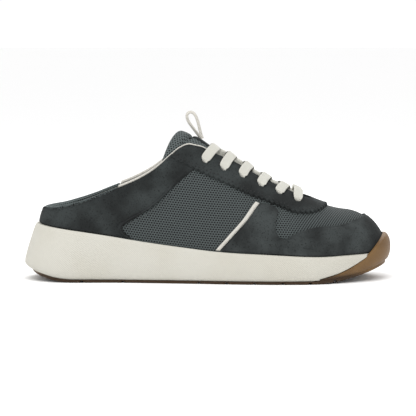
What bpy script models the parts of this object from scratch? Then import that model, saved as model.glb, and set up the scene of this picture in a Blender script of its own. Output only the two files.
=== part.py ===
"""A slip-on shoe for the right foot: a backless trainer with a low heel rim, a laced front,
a gum outsole that turns up over the toe, and a flared pale midsole.

The shoe is drawn on one last. A place on the last is a ring share and an angle. The ring
share runs round the shoe, from 0 at the heel along the lateral side to 1 at the toe, and back
along the medial side to 2 at the heel. The angle climbs the wall, from 0 at its foot, in the
sole, to 90 degrees on the ridge over the foot. Every piece of the upper is a sheet between
two distances from the last, and the sole follows the same outline with its own flare.
+X points to the toe, +Y to the medial side and +Z up. Sizes are in metres.
"""
import math
from bisect import bisect_right
from collections import namedtuple

import bmesh
import bpy
from mathutils import Matrix, Vector

# Overall sizes
LENGTH = 0.300
BALL_WIDTH = 0.098
HEEL_WIDTH = 0.066
HEEL_RISE = 0.0455
BALL_RISE = 0.0214
INSTEP_TOP = 0.1245
TOE_TOP = 0.0562
COLLAR_BACK = 0.0580
COLLAR_PEAK = 0.1105

# The last's two ends, set in from the ends of the sole
HEEL_SETBACK = 0.0135
TOE_SETBACK = 0.0062
HEEL_ROUND = 0.036
TOE_ROUND = 0.078
END_POWER = 2.35

# Layers of the upper
WALL = 0.0025
SUEDE = 0.0013
GAP = 0.0003
SEAT = 0.0006
BELLY = 0.0018

# Sole
SIDE_FLARE = 0.0060
OUTSOLE = 0.0025
OUTSOLE_INSET = 0.0010
HEEL_SEAT = 0.0100
TOE_SEAT = 0.0050
HEEL_ROCKER = 0.0105
HEEL_ROCKER_LENGTH = 0.045
HEEL_ROCKER_POWER = 2.4
TOE_SPRING = 0.0145
TOE_SPRING_LENGTH = 0.070
TOE_SPRING_POWER = 2.05
BUMPER = 0.0030
BUMPER_HEIGHT = 0.037
FOAM_RIM = 0.0013
GROOVE_WIDTH = 0.0024
GROOVE_DEPTH = 0.0014
INSOLE = 0.0055

# Throat, laces and tongue
THROAT_HALF = 0.0130
THROAT_TOP_HALF = 0.0190
THROAT_ROUND = 0.012
EYELET_RADIUS = 0.0022
LACE_WIDTH = 0.0080
LACE_THICK = 0.0014
TONGUE_TOP = 0.0065
TONGUE_FOOT = 0.0030
TONGUE_GAP = 0.0011
TONGUE_EASE = 0.0016
LOOP_WIDTH = 0.0035
LOOP_THICK = 0.0012
LOOP_HEIGHT = 0.0225
LOOP_SPREAD = 0.0070
PIPING_WIDTH = 0.0034
PIPING_THICK = 0.0010
ROLL_HEIGHT = 0.0026
BINDING_HEIGHT = 0.0013

LAST_LENGTH = LENGTH - HEEL_SETBACK - TOE_SETBACK
HEEL_X = -LENGTH / 2 + HEEL_SETBACK
QUARTER_TURN = math.pi / 2

# The last, heel to toe. share is along its length. lateral and medial are half-widths, as
# shares of the width that heel and ball give there. swing is the centre line, as a share of
# the ball's width. drop is the midsole's top edge, from 0 at the ball's rise to 1 at the
# heel's. ridge is the last's top line, from 0 at the toe's top to 1 at the instep's. full is
# the power of the section's curve, 2 for an ellipse.
Station = namedtuple("Station", "share lateral medial swing drop ridge full")
LAST = [
    Station(0.00, 1.000, 1.000, 0.000, 1.000, 0.360, 2.00),
    Station(0.06, 1.000, 1.000, 0.000, 0.900, 0.360, 2.00),
    Station(0.12, 1.000, 1.000, 0.000, 0.800, 0.370, 2.00),
    Station(0.20, 1.000, 1.000, -0.004, 0.660, 0.620, 2.00),
    Station(0.30, 1.010, 0.965, -0.010, 0.475, 0.865, 2.05),
    Station(0.40, 0.990, 0.885, -0.014, 0.320, 1.000, 2.05),
    Station(0.45, 0.980, 0.855, -0.015, 0.250, 0.925, 2.02),
    Station(0.50, 0.980, 0.850, -0.014, 0.185, 0.810, 2.00),
    Station(0.57, 0.985, 0.860, -0.010, 0.130, 0.625, 2.00),
    Station(0.64, 1.000, 0.900, -0.003, 0.095, 0.420, 2.00),
    Station(0.70, 1.015, 0.950, 0.005, 0.060, 0.290, 2.00),
    Station(0.76, 1.015, 0.985, 0.014, 0.020, 0.168, 2.02),
    Station(0.82, 0.990, 0.985, 0.027, 0.000, 0.056, 2.06),
    Station(0.88, 0.940, 0.945, 0.042, 0.020, 0.000, 2.10),
    Station(0.94, 0.880, 0.890, 0.058, 0.030, 0.000, 2.14),
    Station(1.00, 0.830, 0.850, 0.074, 0.050, 0.000, 2.15),
]
BALL_SHARE = 0.70
HEEL_SHARE = 0.20
SPINE_HEEL = 0.12
SPINE_TOE = 0.87
POLE = 0.045

# The rim of the collar: height from 0 at the collar's back to 1 at its peak
Rim = namedtuple("Rim", "share height")
COLLAR = [
    Rim(0.000, 0.00),
    Rim(0.055, 0.02),
    Rim(0.106, 0.09),
    Rim(0.156, 0.18),
    Rim(0.207, 0.29),
    Rim(0.258, 0.395),
    Rim(0.309, 0.53),
    Rim(0.352, 0.69),
    Rim(0.380, 0.82),
    Rim(0.410, 0.94),
    Rim(0.447, 1.00),
    Rim(0.600, 1.00),
]
THROAT_TOP_SHARE = 0.455
THROAT_FRONT_SHARE = 0.785
THROAT_TAPER = 0.22

# The sole's side at the heel, along the sides and at the toe. bulge is how far its widest
# line stands out from the last, tuck how far its lower edge draws back from there, lip how
# far its top edge stands out, belt the height of the widest line as a share of the side, and
# bow the power of the curve from there to the top edge.
SoleSide = namedtuple("SoleSide", "bulge tuck lip belt bow")
SOLE_HEEL = SoleSide(HEEL_SETBACK, 0.0055, 0.0040, 0.12, 1.20)
SOLE_FLANK = SoleSide(SIDE_FLARE, 0.0012, 0.0026, 0.20, 1.60)
SOLE_TOE = SoleSide(TOE_SETBACK, 0.0042, SUEDE + SEAT + 2 * GAP + BUMPER, 0.48, 2.60)
HEEL_FADE = 0.36
TOE_FADE = (0.68, 0.83)

# The gum bumper's top edge, by share of the last's length and of the bumper's height
Edge = namedtuple("Edge", "share height")
BUMPER_EDGE = [
    Edge(0.800, 0.100),
    Edge(0.850, 0.211),
    Edge(0.885, 0.330),
    Edge(0.911, 0.446),
    Edge(0.931, 0.543),
    Edge(0.946, 0.630),
    Edge(0.968, 0.797),
    Edge(0.992, 0.960),
    Edge(1.000, 1.000),
]
GROOVE_SHARES = [0.125, 0.243, 0.46, 0.54, 0.62, 0.70, 0.778, 0.85]

# Pattern lines, drawn on the last's side. along is a share of the last's length, up the
# height from 0 at the midsole's top edge to 1 at the ridge.
Mark = namedtuple("Mark", "along up")
EYESTAY_EDGE = [
    Mark(0.376, 0.765),
    Mark(0.400, 0.690),
    Mark(0.450, 0.668),
    Mark(0.500, 0.665),
    Mark(0.550, 0.665),
    Mark(0.600, 0.668),
    Mark(0.650, 0.690),
    Mark(0.690, 0.682),
    Mark(0.730, 0.672),
    Mark(0.768, 0.728),
    Mark(0.800, 0.830),
]
EYESTAY_FRONT_SHARE = 0.836
QUARTER_EDGE = [
    Mark(0.432, 0.655),
    Mark(0.406, 0.575),
    Mark(0.369, 0.482),
    Mark(0.313, 0.334),
    Mark(0.262, 0.205),
    Mark(0.246, 0.130),
    Mark(0.250, 0.060),
    Mark(0.275, 0.012),
]
PIPING_LINE = [
    Mark(0.515, 0.012),
    Mark(0.552, 0.172),
    Mark(0.593, 0.380),
    Mark(0.629, 0.640),
]
GUARD_EDGE = [
    Mark(0.629, 0.630),
    Mark(0.655, 0.640),
    Mark(0.680, 0.628),
    Mark(0.694, 0.590),
    Mark(0.681, 0.470),
    Mark(0.678, 0.380),
    Mark(0.690, 0.290),
    Mark(0.718, 0.265),
    Mark(0.759, 0.470),
    Mark(0.808, 0.660),
    Mark(0.864, 0.790),
    Mark(0.912, 0.870),
]
GUARD_TOE_SHARE = 0.934
TONGUE_EDGE = [
    Mark(0.340, 0.660),
    Mark(0.400, 0.600),
    Mark(0.500, 0.600),
    Mark(0.600, 0.620),
    Mark(0.700, 0.650),
    Mark(0.780, 0.720),
    Mark(0.815, 0.820),
]
TONGUE_TOP_SHARE = 0.404
TONGUE_FOOT_SHARE = 0.825
EYELETS = 6
EYELET_SHARES = (0.475, 0.742)
EYELET_INSET = 0.0118
EYESTAY_END = 0.0030
EDGE = 0.0006
SEAM_ANGLE = 0.030
SEAM_FADE = 0.03
ROLL_END_SHARE = 0.225
BINDING_END_SHARE = 0.455
TAB_START = 0.080
TAB_END = 0.155
TAB_SPREAD = 0.17
LOOP_SHARE = 0.462
LOOP_FOOT = SEAT + SUEDE + 4 * GAP + LOOP_THICK / 2
LOOP_LEAN = 0.48
LACE_DIVE = 0.0024
LACE_ROWS = 5
LACE_BEYOND = 4 * GAP
LACE_OVER = SEAT + SUEDE + 2 * GAP
LACE_LOW = SEAT - WALL - TONGUE_GAP
LACE_REST = 0.0030


def smooth_line(points):
    """A function that runs smoothly through the points and doesn't overshoot them."""
    xs, ys = zip(*points)
    rises = [(ys[i + 1] - ys[i]) / (xs[i + 1] - xs[i]) for i in range(len(xs) - 1)]
    slopes = [rises[0]]
    for before, after in zip(rises, rises[1:]):
        turns = before * after <= 0
        slopes.append(0.0 if turns else 2 * before * after / (before + after))
    slopes.append(rises[-1])

    def at(x):
        x = min(max(x, xs[0]), xs[-1])
        i = min(bisect_right(xs, x), len(xs) - 1) - 1
        span = xs[i + 1] - xs[i]
        t = (x - xs[i]) / span
        rise = ys[i + 1] - ys[i]
        start, end = slopes[i] * span, slopes[i + 1] * span
        return ys[i] + t * (start + t * (3 * rise - 2 * start - end + t * (start + end - 2 * rise)))

    return at


def column(table, name):
    """One column of a table as a smooth line over its first column."""
    return smooth_line([(row[0], getattr(row, name)) for row in table])


def ease(t):
    t = min(max(t, 0.0), 1.0)
    return t * t * (3 - 2 * t)


def mix(a, b, t):
    return a + (b - a) * t


LATERAL = column(LAST, "lateral")
MEDIAL = column(LAST, "medial")
SWING = column(LAST, "swing")
DROP = column(LAST, "drop")
RIDGE = column(LAST, "ridge")
FULL = column(LAST, "full")
RIM = column(COLLAR, "height")
BUMPER_LINE = column(BUMPER_EDGE, "height")


def share_of(x):
    return (x - HEEL_X) / LAST_LENGTH


def place_of(share):
    return HEEL_X + share * LAST_LENGTH


def centre_y(share):
    return BALL_WIDTH * SWING(share)


def sole_top(share):
    """Height of the midsole's top edge."""
    return mix(BALL_RISE, HEEL_RISE, DROP(share))


def seat_z(share):
    """Height of the floor inside the midsole, where the upper's foot stands."""
    return sole_top(share) - mix(HEEL_SEAT, TOE_SEAT, ease(share))


def ridge_z(share):
    return mix(TOE_TOP, INSTEP_TOP, RIDGE(min(share, SPINE_TOE)))


def ground_z(x):
    """Height of the outsole's underside: flat, with a rockered heel and a toe spring."""
    heel = (HEEL_ROCKER_LENGTH - LENGTH / 2 - x) / HEEL_ROCKER_LENGTH
    toe = (x - LENGTH / 2 + TOE_SPRING_LENGTH) / TOE_SPRING_LENGTH
    lift = HEEL_ROCKER * max(heel, 0.0) ** HEEL_ROCKER_POWER
    return lift + TOE_SPRING * max(toe, 0.0) ** TOE_SPRING_POWER


def half_ring(ring):
    """(share from heel to toe round the outline, side) of a ring share."""
    ring %= 2
    return (ring, -1) if ring <= 1 else (2 - ring, 1)


def outline(ring):
    """The foot of the last in plan."""
    a, side = half_ring(ring)
    share = (1 - math.cos(math.pi * a)) / 2
    front = ease((share - HEEL_SHARE) / (BALL_SHARE - HEEL_SHARE))
    half = mix(HEEL_WIDTH, BALL_WIDTH, front) / 2 * (LATERAL if side < 0 else MEDIAL)(share)
    for reach, rounding in ((share, HEEL_ROUND), (1 - share, TOE_ROUND)):
        inward = max(1 - reach * LAST_LENGTH / rounding, 0.0)
        half *= max(1 - inward**END_POWER, 0.0) ** (1 / END_POWER)
    return place_of(share), centre_y(share) + side * half


def outward(ring):
    """The direction in plan that points out of the last."""
    step = 0.004
    ax, ay = outline(ring - step)
    bx, by = outline(ring + step)
    size = math.hypot(bx - ax, by - ay)
    return (by - ay) / size, (ax - bx) / size


def spine_share(ring):
    """Where on the spine the wall over this place of the ring ends. The walls round the heel
    end in one point, and so do those round the toe."""
    a, _ = half_ring(ring)
    t = min(max((a - POLE) / (1 - 2 * POLE), 0.0), 1.0)
    return mix(SPINE_HEEL, SPINE_TOE, t - math.sin(2 * math.pi * t) / (2 * math.pi))


def ring_at_spine(share):
    """The lateral ring share whose wall ends at this share of the spine."""
    low, high = 0.0, 1.0
    for _ in range(40):
        middle = (low + high) / 2
        low, high = (middle, high) if spine_share(middle) < share else (low, middle)
    return low


def on_last(ring, angle, grow=0.0):
    """A point on the last, grown outwards by grow."""
    fx, fy = outline(ring)
    nx, ny = outward(ring)
    share, top_share = share_of(fx), spine_share(ring)
    power = 2 / FULL(share)
    foot = Vector((fx + nx * grow, fy + ny * grow, seat_z(share)))
    top = Vector((place_of(top_share), centre_y(top_share), ridge_z(top_share) + grow))
    across = 1 - max(math.cos(angle), 0.0) ** power
    up = max(math.sin(angle), 0.0) ** power
    belly = BELLY * 4 * up * (1 - up) ** 2
    x = mix(foot.x, top.x, across) + nx * belly
    y = mix(foot.y, top.y, across) + ny * belly
    return Vector((x, y, mix(foot.z, top.z, up)))


def angle_at_height(ring, height, grow=0.0):
    """The angle at which the wall reaches this height."""
    low, high = 0.0, QUARTER_TURN
    for _ in range(30):
        middle = (low + high) / 2
        below = on_last(ring, middle, grow).z < height
        low, high = (middle, high) if below else (low, middle)
    return low


def throat_half(share):
    """Half the width of the throat, which closes in a round front."""
    half = mix(THROAT_TOP_HALF, THROAT_HALF, ease((share - THROAT_TOP_SHARE) / THROAT_TAPER))
    ahead = (share - THROAT_FRONT_SHARE) * LAST_LENGTH + THROAT_ROUND
    return half * math.sqrt(max(1 - (max(ahead, 0.0) / THROAT_ROUND) ** 2, 0.0))


def rim_angle(ring):
    """The angle at which the wall ends, at the collar or the throat, or 90 degrees."""
    a, _ = half_ring(ring)
    if spine_share(a) >= THROAT_FRONT_SHARE - 1e-9:
        return QUARTER_TURN
    low, high = 0.0, QUARTER_TURN
    for _ in range(30):
        middle = (low + high) / 2
        point = on_last(ring, middle)
        share = share_of(point.x)
        limit = mix(COLLAR_BACK, COLLAR_PEAK, RIM(share))
        inside = point.z < limit
        if share > THROAT_TOP_SHARE - 0.03:
            inside = inside and abs(point.y - centre_y(share)) > throat_half(share)
        low, high = (middle, high) if inside else (low, middle)
    return low


def find(first, second, axes, a, angle):
    """(ring, angle) on the lateral side of the last at which two coordinates are reached, from
    a first guess. axes names the two coordinates."""
    step = 1e-4
    for _ in range(25):
        here = on_last(a, angle)
        along, climb = on_last(a + step, angle), on_last(a, angle - step)
        pa, qa = [(along[k] - here[k]) / step for k in axes]
        pb, qb = [(here[k] - climb[k]) / step for k in axes]
        scale = pa * qb - pb * qa
        miss_p, miss_q = first - here[axes[0]], second - here[axes[1]]
        a += max(-0.05, min(0.05, (miss_p * qb - miss_q * pb) / scale))
        angle += max(-0.1, min(0.1, (miss_q * pa - miss_p * qa) / scale))
        a, angle = min(max(a, 0.001), 0.999), min(max(angle, 0.001), QUARTER_TURN)
    return a, angle


def spot(mark, side=-1):
    """(ring, angle) of a mark on a pattern line."""
    low_z, high_z, seat = sole_top(mark.along), ridge_z(mark.along), seat_z(mark.along)
    z = mix(low_z, high_z, mark.up)
    a = math.acos(1 - 2 * mark.along) / math.pi
    angle = math.asin(min((z - seat) / (high_z - seat), 0.99))
    a, angle = find(place_of(mark.along), z, (0, 2), a, angle)
    return (a if side < 0 else 2 - a), angle


def above(x, y, grow):
    """A point over a place in plan, grow away from the last near its ridge."""
    share = share_of(x)
    middle = centre_y(share)
    near = abs(y - middle)
    side = -1 if y < middle else 1
    low, high = 0.0, 1.2
    for _ in range(40):
        lean = (low + high) / 2
        ring = ring_over(x, lean, side)
        point = on_last(ring, QUARTER_TURN - lean)
        low, high = (lean, high) if abs(point.y - middle) < near else (low, lean)
    lean = (low + high) / 2
    return on_last(ring_over(x, lean, side), QUARTER_TURN - lean, grow)


def ring_over(x, lean, side):
    """The ring share at which the wall passes x, at this lean from the ridge."""
    low, high = 0.0, 1.0
    for _ in range(30):
        middle = (low + high) / 2
        ring = middle if side < 0 else 2 - middle
        low, high = (middle, high) if on_last(ring, QUARTER_TURN - lean).x < x else (low, middle)
    return low if side < 0 else 2 - low


def through(places):
    """A smooth line through (ring, angle) places, over a share from 0 to 1 of its length."""
    points = [on_last(ring, angle) for ring, angle in places]
    lengths = [0.0]
    for before, after in zip(points, points[1:]):
        lengths.append(lengths[-1] + max((after - before).length, 1e-6))
    shares = [length / lengths[-1] for length in lengths]
    rings = smooth_line([(s, place[0]) for s, place in zip(shares, places)])
    angles = smooth_line([(s, place[1]) for s, place in zip(shares, places)])
    return lambda t: (rings(t), angles(t))


def over_ridge(a, lean):
    """(ring, angle) of a place that leans from the ridge: lateral below 0, medial above."""
    return (a if lean <= 0 else 2 - a), QUARTER_TURN - abs(lean)


# The sole's side


def sole_mix(ring, name):
    """A size of the sole's side, blended from the heel through the flanks to the toe."""
    a, _ = half_ring(ring)
    heel = 1 - ease(a / HEEL_FADE)
    toe = ease((a - TOE_FADE[0]) / (TOE_FADE[1] - TOE_FADE[0]))
    flank = getattr(SOLE_FLANK, name)
    return mix(mix(flank, getattr(SOLE_HEEL, name), heel), getattr(SOLE_TOE, name), toe)


def beside(ring, out):
    """A point in plan, out from the last's outline."""
    x, y = outline(ring)
    nx, ny = outward(ring)
    return x + nx * out, y + ny * out


def bumper_z(ring):
    """Height of the gum's top edge: at the midsole's lower edge where there is no bumper."""
    share = share_of(outline(ring)[0])
    if share < BUMPER_EDGE[0].share:
        return midsole_under(ring)
    return max(BUMPER_HEIGHT * BUMPER_LINE(share), midsole_under(ring))


def midsole_under(ring):
    """Height of the midsole's lower edge."""
    x, _ = beside(ring, sole_mix(ring, "bulge") - sole_mix(ring, "tuck"))
    return ground_z(x) + OUTSOLE


def side_top(ring):
    return max(sole_top(share_of(outline(ring)[0])), bumper_z(ring))


def lean_out(ring, height):
    """How far the last's wall stands out from its foot at this height."""
    fx, fy = outline(ring)
    nx, ny = outward(ring)
    point = on_last(ring, angle_at_height(ring, height))
    return (point.x - fx) * nx + (point.y - fy) * ny


def side_out(ring, z):
    """How far the sole's side stands out from the last's foot at this height."""
    low, high = midsole_under(ring), side_top(ring)
    k = min(max((z - low) / (high - low), 0.0), 1.0)
    bulge, belt = sole_mix(ring, "bulge"), sole_mix(ring, "belt")
    if k < belt:
        return bulge - sole_mix(ring, "tuck") * (1 - math.sqrt(1 - (1 - k / belt) ** 2))
    lip = sole_mix(ring, "lip") + lean_out(ring, high)
    return mix(bulge, lip, ((k - belt) / (1 - belt)) ** sole_mix(ring, "bow"))


def bumper_back(ring, z):
    """How far the bumper's inner face stands out, with a rim of foam left behind it."""
    return max(side_out(ring, z) - BUMPER, FOAM_RIM + GAP)


def bumper_meets_upper():
    """The ring share at which the bumper's edge reaches the midsole's top edge."""
    low, high = 0.7, 1.0
    for _ in range(40):
        middle = (low + high) / 2
        under = bumper_z(middle) < sole_top(share_of(outline(middle)[0]))
        low, high = (middle, high) if under else (low, middle)
    return low


def bumper_start():
    return math.acos(1 - 2 * BUMPER_EDGE[0].share) / math.pi


def shared_rings():
    """Ring shares that upper and sole have in common, so that their skins bend on one line.
    Three lie where the bumper starts, where it meets the upper and at the throat's front."""
    kept = [bumper_start(), bumper_meets_upper(), THROAT_FRONT]
    even = [i / RING_STEPS for i in range(RING_STEPS + 1)]
    half = sorted(kept + [a for a in even if min(abs(a - b) for b in kept) > 0.3 / RING_STEPS])
    return half + [2 - a for a in reversed(half[1:-1])]


def floor_row(rings, out, share, z_of):
    """A row of points between the spine and the outline, at heights that follow from x."""
    row = []
    for ring in rings:
        ex, ey = beside(ring, out(ring))
        top = spine_share(ring)
        x, y = mix(place_of(top), ex, share), mix(centre_y(top), ey, share)
        row.append(Vector((x, y, z_of(x))))
    return row


def side_row(rings, out, height):
    """A row of points beside the last, out(ring) away and at height(ring)."""
    return [Vector((*beside(ring, out(ring)), height(ring))) for ring in rings]


def wall_row(rings, grow, share):
    """A row on the last's lower wall, from its foot at share 0 to the midsole's top at 1."""
    row = []
    for ring in rings:
        here = share_of(outline(ring)[0])
        height = mix(seat_z(here), sole_top(here), share)
        row.append(on_last(ring, angle_at_height(ring, height, grow), grow))
    return row


# Meshes


def make(name, points, faces, material):
    """An object from points and faces, with coincident points joined."""
    mesh = bpy.data.meshes.new(name)
    mesh.from_pydata([tuple(p) for p in points], [], faces)
    work = bmesh.new()
    work.from_mesh(mesh)
    bmesh.ops.remove_doubles(work, verts=work.verts, dist=1e-6)
    bmesh.ops.recalc_face_normals(work, faces=work.faces)
    work.to_mesh(mesh)
    work.free()
    mesh.materials.append(material)
    mesh.shade_smooth()
    mesh.set_sharp_from_angle(angle=math.radians(40))
    obj = bpy.data.objects.new(name, mesh)
    bpy.context.scene.collection.objects.link(obj)
    obj.location.y = SHIFT
    return obj


def split(points, quad):
    """The two triangles of a quad, cut along its shorter diagonal, so that two skins that lie
    side by side bend along the same lines."""
    a, b, c, d = quad
    if (points[a] - points[c]).length < (points[b] - points[d]).length:
        return [(a, b, c), (a, c, d)]
    return [(a, b, d), (b, c, d)]


def loft(name, loops, material, closed=True, capped=False):
    """A skin through rows of points. Closed rows join end to end, capped ends are filled."""
    width = len(loops[0])
    points = [p for loop in loops for p in loop]
    faces = []
    for i in range(len(loops) - 1):
        for j in range(width if closed else width - 1):
            a, b = i * width + j, i * width + (j + 1) % width
            faces += split(points, (a, b, b + width, a + width))
    if capped:
        faces.append(tuple(range(width)))
        faces.append(tuple(len(points) - 1 - j for j in range(width)))
    return make(name, points, faces, material)


def panel(name, place, across, along, inner, outer, material):
    """A sheet of the upper between two distances from the last. place(u, v) gives a ring
    share and an angle; inner and outer take the same shares."""
    def sheet(grow):
        rows = []
        for i in range(along + 1):
            u = i / along
            row = [on_last(*place(u, j / across), grow(u, j / across)) for j in range(across + 1)]
            rows.append(row)
        return rows

    low, high = sheet(inner), sheet(outer)
    loops = [low[i] + high[i][::-1] for i in range(along + 1)]
    return loft(name, loops, material, closed=True, capped=True)


def level(distance):
    return lambda u, v: distance


def material(name, colour, roughness, metallic=0.0):
    made = bpy.data.materials.new(name)
    made.use_nodes = True
    shader = made.node_tree.nodes["Principled BSDF"]
    shader.inputs["Base Color"].default_value = (*colour, 1.0)
    shader.inputs["Roughness"].default_value = roughness
    shader.inputs["Metallic"].default_value = metallic
    made.diffuse_color = (*colour, 1.0)
    return made


def sole_shift():
    """How far the shoe moves along Y, so that the sole's width is centred on the origin."""
    sides = [beside(i / 200, sole_mix(i / 200, "bulge"))[1] for i in range(400)]
    return -(min(sides) + max(sides)) / 2


SHIFT = sole_shift()
RING_STEPS = 24
FLOOR_SHARES = (0.0, 0.42, 0.76, 1.0)
BUMPER_SHARES = (0.0, 0.25, 0.6, 1.0)
THROAT_FRONT = ring_at_spine(THROAT_FRONT_SHARE)
UNDER_UPPER = -WALL - GAP
UNDER_THROAT = -WALL - TONGUE_GAP
OVERLAY_FOOT = SEAT
OVERLAY_TOP = SEAT + SUEDE


def build_upper(finish):
    """The knitted shell: one hollow wall, open at collar, throat and foot."""
    rings = shared_rings()
    rows = 8
    points, faces = [], []
    for ring in rings:
        angles = [rim_angle(ring) * j / rows for j in range(rows + 1)]
        points += [on_last(ring, angle, -WALL) for angle in reversed(angles)]
        points += [on_last(ring, angle) for angle in angles]
    width, count = 2 * (rows + 1), len(rings)
    for i, ring in enumerate(rings):
        after = (i + 1) % count
        shut = rim_angle(ring) == QUARTER_TURN == rim_angle(rings[after])
        for j in range(width - 1 if shut else width):
            k = (j + 1) % width
            quad = (i * width + j, i * width + k, after * width + k, after * width + j)
            faces += split(points, quad)
    return make("upper", points, faces, finish)


def build_midsole(finish):
    """The foam: a flared side, a rebate for the gum bumper and a bed for the upper's foot."""
    rings = shared_rings()

    def under(x):
        return ground_z(x) + OUTSOLE

    def floor(x):
        return seat_z(share_of(x)) - GAP

    def step_z(ring):
        return min(bumper_z(ring), sole_top(share_of(outline(ring)[0])))

    def recess(ring, z):
        return bumper_back(ring, z) - GAP

    def low_recess(ring):
        return recess(ring, midsole_under(ring))

    def face(share):
        def height(ring):
            return mix(step_z(ring), sole_top(share_of(outline(ring)[0])), share)

        def out(ring):
            strip = sole_top(share_of(outline(ring)[0])) - step_z(ring)
            here = side_out(ring, height(ring))
            back = recess(ring, height(ring))
            return back + min(here - back, 1.5 * strip)
        return side_row(rings, out, height)

    def rebate(share):
        def height(ring):
            return mix(midsole_under(ring), step_z(ring), share)
        return side_row(rings, lambda ring: recess(ring, height(ring)), height)

    rows = [floor_row(rings, low_recess, share, under) for share in FLOOR_SHARES[:-1]]
    rows += [rebate(share) for share in BUMPER_SHARES]
    rows += [face(share) for share in (0.0, 0.12, 0.35, 0.68, 0.92, 1.0)]
    rows += [wall_row(rings, GAP, share) for share in (1.0, 0.5, 0.0)]
    rows += [floor_row(rings, lambda ring: GAP, share, floor) for share in FLOOR_SHARES[2::-1]]
    return loft("midsole", rows, finish)


def build_outsole(finish):
    """The gum: a ground plate that turns up over the toe, with cross grooves cut in it."""
    rings = shared_rings()

    def edge(ring):
        a, _ = half_ring(ring)
        inset = OUTSOLE_INSET * (1 - ease((a - bumper_start() + 0.10) / 0.10))
        return sole_mix(ring, "bulge") - sole_mix(ring, "tuck") - inset

    def plate_top(x):
        return ground_z(x) + OUTSOLE - GAP

    def brink(ring):
        return bumper_z(ring) - GAP

    def low(ring):
        return midsole_under(ring) - GAP

    def inner(ring):
        return bumper_back(ring, low(ring))

    def face(share):
        def height(ring):
            return mix(low(ring), brink(ring), share)

        def out(ring):
            a, _ = half_ring(ring)
            inset = OUTSOLE_INSET * (1 - ease((a - bumper_start() + 0.10) / 0.10))
            return side_out(ring, height(ring)) - inset
        return out, height

    def back(share):
        height = face(share)[1]

        def out(ring):
            above = height(ring) > sole_top(share_of(outline(ring)[0]))
            return side_out(ring, height(ring)) - BUMPER if above else bumper_back(ring, height(ring))
        return side_row(rings, out, height)

    rows = [floor_row(rings, edge, share, ground_z) for share in FLOOR_SHARES]
    rows += [side_row(rings, *face(share)) for share in (0.0, 0.3, 0.65, 1.0)]
    rows += [back(share) for share in reversed(BUMPER_SHARES)]
    rows += [floor_row(rings, inner, share, plate_top) for share in FLOOR_SHARES[2::-1]]
    outsole = loft("outsole", rows, finish)
    for i, share in enumerate(GROOVE_SHARES):
        x = place_of(share)
        slope = math.atan((ground_z(x + 0.002) - ground_z(x - 0.002)) / 0.004)
        cutter = box(f"groove_{i + 1}", (GROOVE_WIDTH, 2 * BALL_WIDTH, 2 * GROOVE_DEPTH))
        cutter.location = (x, 0.0, ground_z(x))
        cutter.rotation_euler.y = -slope
        cut(outsole, cutter)
    return outsole


def build_insole(finish):
    """The footbed inside the upper."""
    rings = shared_rings()
    fit = UNDER_UPPER

    def bed(x):
        return seat_z(share_of(x))

    def top(x):
        return bed(x) + INSOLE

    rows = [floor_row(rings, lambda ring: fit, share, bed) for share in FLOOR_SHARES]
    rows += [floor_row(rings, lambda ring: fit, share, top) for share in reversed(FLOOR_SHARES)]
    return loft("insole", rows, finish)


def tongue_place(u, v):
    """A place on the tongue: u from its top end to its foot, v across it."""
    side = 2 * v - 1
    ring, angle = TONGUE_SIDE(u)
    ridge = mix(ring_at_spine(TONGUE_TOP_SHARE), ring_at_spine(TONGUE_FOOT_SHARE), u)
    a = mix(ridge, ring, abs(side))
    return over_ridge(a, side * (QUARTER_TURN - angle))


def build_tongue(finish):
    def over(u, v):
        return UNDER_THROAT - TONGUE_EASE * (1 - ease(u / 0.3)) * (2 * v - 1) ** 2

    def under(u, v):
        thick = mix(TONGUE_TOP, TONGUE_FOOT, ease(u / 0.5))
        return over(u, v) - thick * (1 - 0.55 * abs(2 * v - 1) ** 3)

    return panel("tongue", tongue_place, 10, 14, under, over, finish)


def rim_margin(ring, distance):
    """The angle this far below the upper's edge."""
    return angle_at_height(ring, on_last(ring, rim_angle(ring)).z - distance)


def foot_angle(ring):
    """The angle just over the midsole's top edge."""
    return angle_at_height(ring, sole_top(share_of(outline(ring)[0])) + 2 * GAP)


def other_side(ring):
    return (2 - ring) % 2


def eyestay_low(ring):
    """The eyestay's lower edge, which starts a little below the rim."""
    return min(EYESTAY_OVER(ring), rim_margin(ring, EYESTAY_END))


def heel_top(ring):
    """The upper edge of the heel's suede: the rim, or further forward the eyestay."""
    ahead = ease((ring - EYESTAY_SPOTS[0][0]) / SEAM_FADE + 1)
    return mix(rim_margin(ring, EDGE), eyestay_low(ring) - SEAM_ANGLE, ahead)


def heel_place(u, v):
    reach = abs(2 * u - 1)
    front_ring, front_angle = QUARTER_FRONT(v)
    low, high = foot_angle(front_ring), heel_top(front_ring)
    front = min(max((front_angle - low) / (high - low), 0.0), 1.0)
    ring = reach * front_ring
    angle = mix(foot_angle(ring), heel_top(ring), mix(v, front, reach**2))
    return (ring if u <= 0.5 else other_side(ring)), angle


def build_heel_quarter(finish):
    """Suede round the heel, from one side's mesh panel to the other's."""
    return panel("heel_quarter", heel_place, 5, 24, level(OVERLAY_FOOT), level(OVERLAY_TOP), finish)


def eyestay_place(u, v):
    """v runs from the throat's edge, 0, to the eyestay's lower edge, 1."""
    reach = 1 - abs(2 * u - 1)
    ring = mix(EYESTAY_SIDE(0.0)[0], THROAT_FRONT, reach)
    if reach == 1:
        top = QUARTER_TURN
    else:
        top = rim_margin(ring, EDGE)
    low_ring, low_angle = EYESTAY_SIDE(reach)
    if reach < 0.5:
        low_angle = eyestay_low(low_ring)
    ring, angle = mix(ring, low_ring, v), mix(top, low_angle, v)
    return (ring if u <= 0.5 else other_side(ring)), angle


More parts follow.
